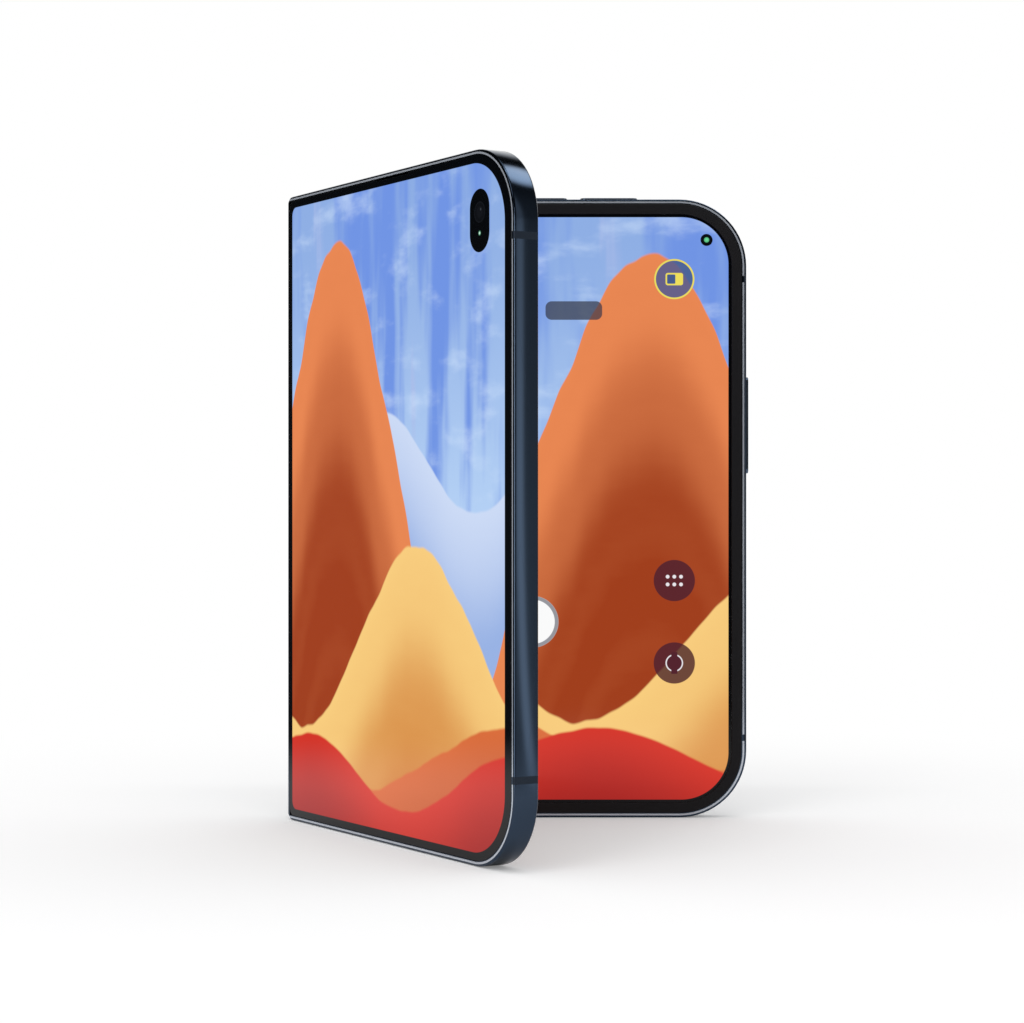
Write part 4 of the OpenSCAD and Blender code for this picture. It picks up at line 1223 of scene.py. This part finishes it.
FRAME_METAL = Finish(
    "frame_metal", tint(58, 71, 88), 0.12, metallic=1.0, grain=Grain.POLISHED, scale=180.0,
    spread=0.15, roughness_spread=0.06,
)
# Frame metal with a painted highlight line along its edges.
FRAME_METAL_PAINTED_HIGHLIGHT = EdgedFinish(**{**vars(FRAME_METAL), "suffix": "_edged"})
KEY_METAL = replace(FRAME_METAL, color=tint(76, 92, 112), roughness=0.14, suffix="_keys")
BAND_POLYMER = Finish("band_polymer", tint(32, 41, 53), 0.34, spread=0.2, specular=0.15)
SOFT_RIM = Finish("soft_rim", tint(23, 22, 25), 0.55, scale=4200.0, depth=5e-7, specular=0.22)
BACK_GLASS = Finish(
    "back_glass", tint(32, 44, 60), 0.36, scale=9000.0, spread=0.2, roughness_spread=0.3,
    depth=8e-7, specular=0.3,
)
PLATE_STEEL = Finish(
    "plate_steel", tint(178, 182, 188), 0.36, 1.0, Grain.DRAWN, 5200.0, depth=1e-6,
)
HINGE_STEEL = Finish("hinge_steel", tint(54, 57, 63), 0.34, 1.0, Grain.DRAWN, 6000.0, depth=1e-6)
BRIGHT_STEEL = Finish("bright_steel", tint(226, 227, 230), 0.16, 1.0, Grain.POLISHED, 900.0)
GEAR_BRASS = Finish("gear_brass", tint(222, 186, 118), 0.22, 1.0, Grain.DRAWN, 9000.0)
FIXING_STEEL = Finish("fixing_steel", tint(200, 202, 206), 0.3, 1.0, Grain.DRAWN, 7000.0)
SHIELD_METAL = Finish(
    "shield_metal", tint(210, 212, 216), 0.28, 1.0, Grain.DRAWN, 2600.0, depth=1e-6,
)
CAMERA_BLACK = Finish("camera_black", tint(8, 9, 12), 0.4, scale=3000.0, specular=0.2)
LENS_RING = Finish(
    "lens_ring", tint(150, 160, 176), 0.14, 1.0, Grain.POLISHED, 300.0, 0.1, 0.05,
)
FLASH_WINDOW = Finish("flash_window", tint(238, 232, 214), 0.35, grain=Grain.MOULDED, scale=5200.0)
BATTERY_FOIL = Finish(
    "battery_foil", tint(58, 60, 66), 0.42, grain=Grain.FOIL, scale=420.0, depth=3e-5,
)
CIRCUIT_BOARD = Finish(
    "circuit_board", tint(32, 96, 62), 0.4, grain=Grain.BOARD, scale=260.0, depth=4e-5,
)
BLACK_PLASTIC = Finish("black_plastic", tint(36, 38, 42), 0.5, scale=3600.0, depth=4e-6)
COIL_COPPER = Finish("coil_copper", tint(214, 134, 78), 0.24, 1.0, Grain.DRAWN, 5000.0)
MAGNET_NICKEL = Finish("magnet_nickel", tint(188, 188, 192), 0.2, 1.0, Grain.POLISHED, 700.0)
LENS_GLASS = Finish(
    "lens_glass", tint(206, 216, 238), 0.0, grain=Grain.POLISHED, scale=300.0, spread=0.05,
    roughness_spread=0.0, specular=0.12, clear=1.0,
)
LENS_ELEMENT = Finish(
    "camera_black", tint(9, 10, 30), 0.03, grain=Grain.POLISHED, scale=600.0,
    roughness_spread=0.02, specular=0.16, suffix="_element",
)
BARREL_BLACK = Finish(
    "camera_black", tint(20, 21, 25), 0.3, 0.0, Grain.DRAWN, 9000.0, specular=0.1,
    suffix="_barrel",
)
CONTACT_GOLD = replace(
    GEAR_BRASS, color=tint(232, 190, 112), roughness=0.2, suffix="_contacts"
)
CHIP_BLACK = Finish("black_plastic", tint(30, 31, 34), 0.42, scale=6000.0, suffix="_chips")
CHIP_TAN = Finish("black_plastic", tint(158, 132, 104), 0.4, scale=6000.0, suffix="_capacitors")

YELLOW = tint(238, 222, 92)
PALE = tint(236, 232, 236)
DEEP = tint(82, 34, 44)

SCREEN_BACK = Finish("screen", tint(20, 22, 28), 0.2, suffix="_back")

INNER_MARKS: tuple[RoundLight | Panel, ...] = (
    RoundLight(71.0, 104.5, 3.9, tint(70, 92, 140), 0.9, YELLOW, 0.32),
    Panel(Window((69.3, 72.7), (103.3, 105.7), 0.45), YELLOW),
    Panel(Window((69.6, 71.2), (103.6, 105.4), 0.2), tint(70, 92, 140)),
    Panel(Window((46.0, 57.0), (96.6, 100.2), 1.2), tint(60, 62, 74), 0.85),
    RoundLight(71.0, 46.0, 4.0, DEEP, 0.92),
    RoundLight(71.0, 30.0, 4.0, DEEP, 0.92),
    RoundLight(71.0, 30.0, 1.7, DEEP, 1.0, PALE, 0.24),
    Panel(Window((70.4, 71.6), (27.9, 32.1), 0.1), DEEP),
    RoundLight(43.5, 38.0, 5.0, tint(250, 250, 250), 1.0, tint(150, 150, 156), 0.7),
) + tuple(
    RoundLight(71.0 + 1.3 * column, 46.0 + 0.75 * row, 0.36, PALE)
    for column in (-1, 0, 1) for row in (-1, 1)
)
INNER_SCREEN = ScreenFinish(
    "inner_screen", "screen", (Window((-81.5, 81.5), (3.5, 116.5), 9.2),), INNER_MARKS,
    border=tint(3, 4, 8), wave=2e-6,
)
COVER_SCREEN = ScreenFinish(
    "cover_screen", "cover_glass",
    (Window((-60.0, 82.0), (2.3, 117.7), 10.6), Window((2.3, 180.0), (2.3, 117.7), 1.6)),
    openings=(Window((70.55, 77.05), (102.65, 113.25), 3.25),),
    lights=(
        RoundLight(73.8, 109.35, 1.75, tint(9, 10, 13), 1.0, tint(22, 24, 28), 0.12),
        RoundLight(73.8, 109.35, 0.95, tint(15, 16, 20)),
        # Painted glint on the lens, then its painted green coating reflection with a bright core, all glowing.
        RoundLight(74.15, 109.8, 0.22, tint(52, 56, 62)),
        RoundLight(73.8, 105.85, 0.42, tint(58, 120, 92)),
        RoundLight(73.8, 105.85, 0.24, tint(196, 236, 214)),
    ),
    shift=(45.0, 0.0, 0.0),
)
INNER_LENS = ScreenFinish(
    "inner_lens", "camera_black", lights=(
        RoundLight(77.27, 112.12, 0.95, tint(7, 9, 11)),
        # Painted green coating reflection of the lens, with a brighter core, glowing.
        RoundLight(77.27, 112.12, 0.5, tint(88, 190, 130)),
        RoundLight(77.3, 112.15, 0.28, tint(112, 214, 152)),
    ),
)


@dataclass
class Shells:
    """The metal frames of the two halves with their bands, rims and the back glass."""

    glass_edge: float = 0.08
    rim_room: float = 0.02

    def ease(self, rim: Piece, half: Half) -> None:
        """Draws a rim's side at the fold back a hair, so that it clears the spine when closed."""
        places = [half.flat(vertex.co).x for vertex in rim.data.vertices]
        for vertex, x in zip(rim.data.vertices, places):
            if x < min(places) + self.rim_room:
                vertex.co += half.across * self.rim_room * MM

    def build(self) -> None:
        """Builds the outer shells."""
        for name, half in (("rear", REAR), ("front", FRONT)):
            polish(name + "_frame", FRAME_METAL_PAINTED_HIGHLIGHT, half=half)
            self.ease(polish(name + "_rim", SOFT_RIM), half)
        dress("rear_antenna_bands front_antenna_bands", BAND_POLYMER)
        polish("rear_back_glass", BACK_GLASS, self.glass_edge)
        polish("spine_cover", FRAME_METAL)


@dataclass
class Screens:
    """The folding screen and the cover screen."""

    bend_length: float = 6.0
    inset: float = 2.95
    thickness: float = 0.31
    height: float = 120.0
    steps: int = 48
    blend_start: Pair = (1.0557, 0.0190)
    blend_end: Pair = (5.5149, 1.4820)
    glass_edge: float = 0.1

    def strip(self, tree: Tree, side: float, half: Half) -> None:
        """Builds one half of the strip that bends.

        Args:
            tree: tree of the strip.
            side: 1 for the rear half's side, -1 for the front half's.
            half: the half that its outer edge follows.
        """
        piece = grow(
            f"screen_bend_{half.body}", tree, Axis=REAR.axis, Side=side,
            Bend_Length=self.bend_length * MM, Thickness=self.thickness * MM,
            Low=self.inset * MM, High=(self.height - self.inset) * MM, Fold=FOLD,
            Pivot_X=REAR.pivot_x * MM, Pivot_Depth=REAR.pivot_depth * MM, Steps=self.steps + 1,
        )
        start = half.at(self.blend_start[0], 0.0, self.blend_start[1])
        end = half.at(self.blend_end[0], 0.0, self.blend_end[1])
        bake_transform(piece)
        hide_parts("inner_display_fold")

    def build(self) -> None:
        """Builds the screens."""
        tree = screen_bend(INNER_SCREEN.material())
        for name, half, side in (("rear", REAR, 1.0), ("front", FRONT, -1.0)):
            polish("inner_display_" + name, INNER_SCREEN, half=half, side=side)
            self.strip(tree, side, half)
        polish("cover_glass", COVER_SCREEN, self.glass_edge, half=FRONT)
        dress("cover_display", SCREEN_BACK)


@dataclass
class Cameras:
    """The camera island on the back, the inner camera and the cover camera, with lengths in mm."""

    mouth: float = 0.5
    barrel_r: float = 2.75
    element_r: float = 1.45
    element_dome: float = 0.32
    flash_r: float = 0.95
    flash_lift: float = 0.02

    def barrels(self) -> None:
        """Fills the mouths of the rear cameras with stepped rings and a domed lens."""
        tops = top_places("rear_cameras", REAR, 1)
        rings = grow(
            "lens_barrel_steps", stepped_rings(BARREL_BLACK.material()), tops,
            Turn=REAR.turn(1), Rings=5, Outer_Radius=self.barrel_r, Step_In=0.26,
            Step_Down=0.085, Ring_Width=0.16, Ring_Height=0.12,
        )
        place(rings, REAR.body, BARREL_BLACK)
        mesh = bpy.data.meshes.new("lens_elements")
        size = Matrix.Diagonal((self.element_r, self.element_dome, self.element_r, 1.0 / MM)) * MM
        with editing(mesh) as shape:
            for top in tops:
                made = bmesh.ops.create_uvsphere(shape, u_segments=40, v_segments=20, radius=1.0)
                shift = Matrix.Translation(top - Vector((0.0, self.mouth * MM, 0.0)))
                bmesh.ops.transform(shape, matrix=shift @ size, verts=made["verts"])
        smooth_faces(mesh, 60.0)
        place(new_piece("lens_elements", mesh), REAR.body, LENS_ELEMENT)

    def flash(self) -> None:
        """Draws the fine rings of the flash window's lens."""
        low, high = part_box("flash_window")
        back = high[1] + self.flash_lift * MM
        rings = grow(
            "flash_lens_rings", stepped_rings(FLASH_WINDOW.material()),
            [Vector(((low[0] + high[0]) / 2, back, (low[2] + high[2]) / 2))],
            Turn=REAR.turn(1), Rings=5, Outer_Radius=self.flash_r, Step_In=0.18, Step_Down=0.0,
            Ring_Width=0.07, Ring_Height=0.04,
        )
        place(rings, REAR.body, FLASH_WINDOW)

    def build(self) -> None:
        """Builds the cameras."""
        polish("camera_island", FRAME_METAL)
        polish("lens_rings", LENS_RING, 0.1)
        polish("lens_glasses", LENS_GLASS, 0.06)
        dress("rear_cameras cover_camera", CAMERA_BLACK)
        self.barrels()
        self.flash()
        polish("inner_camera", INNER_LENS, 0.05, half=REAR)
        dress("flash_window", FLASH_WINDOW)


@dataclass
class Keys:
    """The three keys and the card tray."""

    edge: float = 0.05
    key_angle: float = 50.0

    def build(self) -> None:
        """Builds the keys and the tray."""
        for node in ("power_key", "volume_up_key", "volume_down_key"):
            polish(node, KEY_METAL, self.edge, self.key_angle)
        polish("card_tray", FRAME_METAL, self.edge)


@dataclass
class Insides:
    """What the halves and the spine hold, with lengths in mm."""

    plain: tuple[tuple[Finish, str], ...] = (
        (PLATE_STEEL, "rear_midplate front_midplate rear_wing_plate front_wing_plate"),
        (HINGE_STEEL, "rear_hinge_brackets front_hinge_brackets hinge_base"),
        (HINGE_STEEL, "rear_hinge_shaft front_hinge_shaft"),
        (BRIGHT_STEEL, "friction_clips idler_axles"),
        (GEAR_BRASS, "rear_idler_gears front_idler_gears"),
        (SHIELD_METAL, "board_shields charging_socket card_reader vibration_motor"),
        (BATTERY_FOIL, "rear_battery front_battery"),
        (CIRCUIT_BOARD, "main_board port_board front_board"),
        (BLACK_PLASTIC, "bottom_speaker top_speaker earpiece key_switches"),
        (MAGNET_NICKEL, "rear_magnets front_magnets"),
    )
    head_r: float = 0.95
    pan_top_r: float = 0.817
    shank_r: float = 0.5
    thread: float = 0.03
    coil_radii: Pair = (12.3, 19.8)
    contacts_height: float = 3.0
    chips_at: Pair = (7.5, 101.0)

    def screws(self) -> None:
        """Builds the screws: pan heads on the boards, countersunk ones in the brackets."""
        shared = {
            "Shank_Radius": self.shank_r - self.thread, "Thread": self.thread,
            "Thread_Pitch": 0.16, "Turns": 7,
        }
        pan = {
            "Top_Radius": self.pan_top_r, "Under_Radius": self.head_r, "Head_Height": 0.5,
            "Length": 2.5,
        }
        sunk = {
            "Top_Radius": self.head_r, "Under_Radius": self.shank_r, "Head_Height": 0.45,
            "Length": 2.0,
        }
        for kind, node, half, outward, finish, sizes in (
            ("cross_head_", "board_screws", REAR, 1, FIXING_STEEL, pan),
            ("cross_head_", "front_board_fixings", FRONT, 1, FIXING_STEEL, pan),
            ("countersunk_", "rear_hinge_screws", REAR, -1, BRIGHT_STEEL, sunk),
            ("countersunk_", "front_hinge_screws", FRONT, -1, BRIGHT_STEEL, sunk),
        ):
            screws = grow(
                kind + node, screw(finish.material()), top_places(node, half, outward),
                Turn=half.turn(outward), **sizes, **shared,
            )
            place(screws, half.body, finish, node)

    def coil(self) -> None:
        """Winds the charging coil."""
        winding = grow(
            "coil_winding", coil(COIL_COPPER.material()), top_places("charging_coil", REAR, 1),
            Turn=REAR.turn(1), Rotations=16.0, Inner_Radius=self.coil_radii[0],
            Outer_Radius=self.coil_radii[1], Wire_Radius=0.17,
        )
        place(winding, REAR.body, COIL_COPPER, "charging_coil")

    def contacts(self) -> None:
        """Lays the gold contacts on the charging socket's tongue."""
        low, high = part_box("charging_socket")
        middle = (Vector(low) + Vector(high)) / 2
        contacts = grow(
            "socket_contacts", block_rows(CONTACT_GOLD.material()),
            [Vector((middle.x, middle.y, self.contacts_height * MM))],
            Turn=Euler((math.pi, 0.0, 0.0)), Count=12, Pitch=0.5, Row_Gap=0.71,
            Block_Size=Vector((0.26, 0.05, 3.4)),
        )
        place(contacts, REAR.body, CONTACT_GOLD)

    def chips(self) -> None:
        """Scatters small parts over the back of the main board."""
        x, z = self.chips_at
        middle = Vector((x * MM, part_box("main_board")[1][1], z * MM))
        for name, finish, columns, rows, filled, smallest, largest, seed in (
            ("board_chips", CHIP_BLACK, 5, 4, 0.62, (1.6, 1.6, 0.3), (5.2, 5.0, 0.55), 7),
            ("board_capacitors", CHIP_TAN, 22, 15, 0.4, (0.3, 0.3, 0.12), (0.9, 0.5, 0.28), 11),
        ):
            chips = grow(
                name, chip_field(finish.material()), [middle], Turn=REAR.turn(1), Width=25.0,
                Length=20.0, Columns=columns, Rows=rows, Filled=filled,
                Smallest=Vector(smallest), Largest=Vector(largest), Seed=seed,
            )
            place(chips, REAR.body, finish)

    def build(self) -> None:
        """Dresses the inner nodes and builds the fine pieces."""
        for finish, nodes in self.plain:
            dress(nodes, finish)
        self.screws()
        self.coil()
        self.contacts()
        self.chips()


@dataclass
class Studio:
    """Camera, floor, lamps and the white surroundings."""

    eye: Triple = (-1.34, -431.46, 59.4)
    lens: float = 84.4
    sensor: float = 36.0
    clip: Pair = (0.01, 100.0)
    backdrop_from: Pair = (0.6, 0.85)
    side_light: Triple = (0.883, -0.469, 0.0)
    side_level: float = 0.34
    room_level: float = 0.05
    light_level: float = 0.75
    glints: tuple[tuple[Triple, float, float, float], ...] = (
        ((0.0, -0.1, 1.0), 0.93, 0.99, 1.4),
        ((0.5, 0.15, 0.85), 0.945, 0.998, 5.0),
        ((-0.5, -0.87, 0.0), 0.955, 0.99, 2.5),
    )
    strip_light: Triple = (0.831, -0.556, 0.0)
    strip_cosines: Pair = (0.9965, 0.9998)
    strip_level: float = 1.4
    downward_gain: float = -3.4
    gain_limits: Pair = (0.35, 1.7)
    floor_fades: Pair = (0.10, 0.24)
    floor_lift: float = 0.2
    floor_half: float = 8.0
    floor_sink: float = 0.00005
    lamps: tuple[tuple[str, Triple, Pair, float], ...] = (
        ("left_strip", (-0.33, -0.62, 0.10), (0.05, 0.5), 0.5),
        ("overhead", (0.0, -0.20, 0.70), (0.5, 0.06), 0.6),
        ("key", (-0.5, -0.7, 0.9), (0.5, 0.5), 0.9),
    )
    lamp_aim: Triple = (0.0, 0.0, 0.06)

    def camera(self) -> None:
        """Places the camera as the photo's viewpoint was measured."""
        data = bpy.data.cameras.new("view")
        data.lens, data.sensor_width = self.lens, self.sensor
        data.clip_start, data.clip_end = self.clip
        camera = new_piece("view", data)
        camera.location = Vector(self.eye) * MM
        camera.rotation_euler = Euler((math.pi / 2, 0, 0))
        bpy.context.scene.camera = camera

    def lamp(self, name: str, hung: Triple, size: Pair, power: float) -> None:
        """Adds a soft rectangular lamp that faces the phone.

        Args:
            name: its name.
            hung: where it hangs, in metres.
            size: its width and height in metres.
            power: its power in watts.
        """
        data = bpy.data.lights.new(name, "AREA")
        data.shape, data.size, data.size_y, data.energy = "RECTANGLE", *size, power
        lamp = new_piece(name, data)
        lamp.location = hung
        sight = Vector(self.lamp_aim) - Vector(hung)
        lamp.rotation_euler = sight.to_track_quat("-Z", "Y").to_euler()

    def brightness(self, n: NodeWriter, way: Wire) -> Wire:
        """Brightness of the surroundings for a ray that leaves in some direction.

        The eye sees white. Metal and glass see the white backdrop behind the phone and a dim
        room in front of it. Everything else is lit evenly.

        Args:
            n: writer of the tree.
            way: direction of the ray.

        Returns:
            The brightness.
        """
        def toward(direction: Wire, target: Triple, low: float, high: float) -> Wire:
            """Goes from 0 to 1 as the cosine to a target goes from low to high."""
            return n.smooth(n.vector("DOT_PRODUCT", direction, target), low, high)

        _, back, up = n.split(way)
        level_way = n.vector("NORMALIZE", way * (1.0, 1.0, 0.0))
        room = toward(way, self.side_light, 0.5, 1.0) * self.side_level + self.room_level
        room = room + toward(level_way, self.strip_light, *self.strip_cosines) * self.strip_level
        room = room * n.clamp(up * self.downward_gain + 1.0, *self.gain_limits)
        for target, low, high, level in self.glints:
            room = room + toward(way, Vector(target).normalized(), low, high) * level
        glossy = n.ray("Glossy")
        mirrored = glossy * n.math("MAXIMUM", n.smooth(back, *self.backdrop_from), room)
        seen = n.math("MAXIMUM", n.ray("Camera"), n.ray("Transmission"))
        return n.math("MAXIMUM", mirrored + (1.0 - glossy) * self.light_level, seen)

    def surroundings(self) -> None:
        """Makes the surroundings: white to the eye, a white backdrop in a dim room to metal."""
        world = bpy.data.worlds.new("studio")
        bpy.context.scene.world = world
        world.use_nodes = True
        world.node_tree.nodes.clear()
        n = NodeWriter(world.node_tree)
        strength = self.brightness(n, n.out("ShaderNodeTexCoord", "Generated"))
        background = n.out("ShaderNodeBackground", Color=(1.0, 1.0, 1.0), Strength=strength)
        n.set(n.add("ShaderNodeOutputWorld"), Surface=background)

    def floor(self) -> None:
        """Lays the pale floor, which takes the phone's shadow and turns white further out."""
        mesh = bpy.data.meshes.new("floor")
        with editing(mesh) as shape:
            bmesh.ops.create_grid(shape, x_segments=2, y_segments=2, size=self.floor_half)
        floor = new_piece("floor", mesh)
        floor.location.z = -self.floor_sink
        material, n, surface = new_material("floor_paint")
        spot = n.out("ShaderNodeNewGeometry", "Position")
        far = n.smooth(n.vector("LENGTH", spot), *self.floor_fades)
        paint = n.mix(n.noise(spot, 30.0), (0.90, 0.90, 0.905), (0.91, 0.91, 0.91))
        glow = far * self.brightness(n, n.vector("NORMALIZE", spot))
        total = glow + n.ray("Camera") * self.floor_lift * (1.0 - far)
        n.set(
            surface, Base_Color=n.mix(far, paint, (0.0, 0.0, 0.0)), Roughness=0.9,
            Specular_IOR_Level=0.0, Emission_Color=n.join(total, total, total),
            Emission_Strength=1.0,
        )
        floor.data.materials.append(material)

    def build(self) -> None:
        """Builds the studio."""
        self.camera()
        self.floor()
        self.surroundings()
        for lamp in self.lamps:
            self.lamp(*lamp)


def main() -> None:
    """Builds the studio and every sub-assembly in order."""
    logging.basicConfig(level=logging.INFO, format="%(name)s: %(message)s")
    bpy.context.scene.view_settings.view_transform = "Standard"
    Studio().build()
    for assembly in (Shells(), Screens(), Cameras(), Keys(), Insides()):
        assembly.build()
        LOG.info("%s done", type(assembly).__name__)


if __name__ == "__main__":
    main()
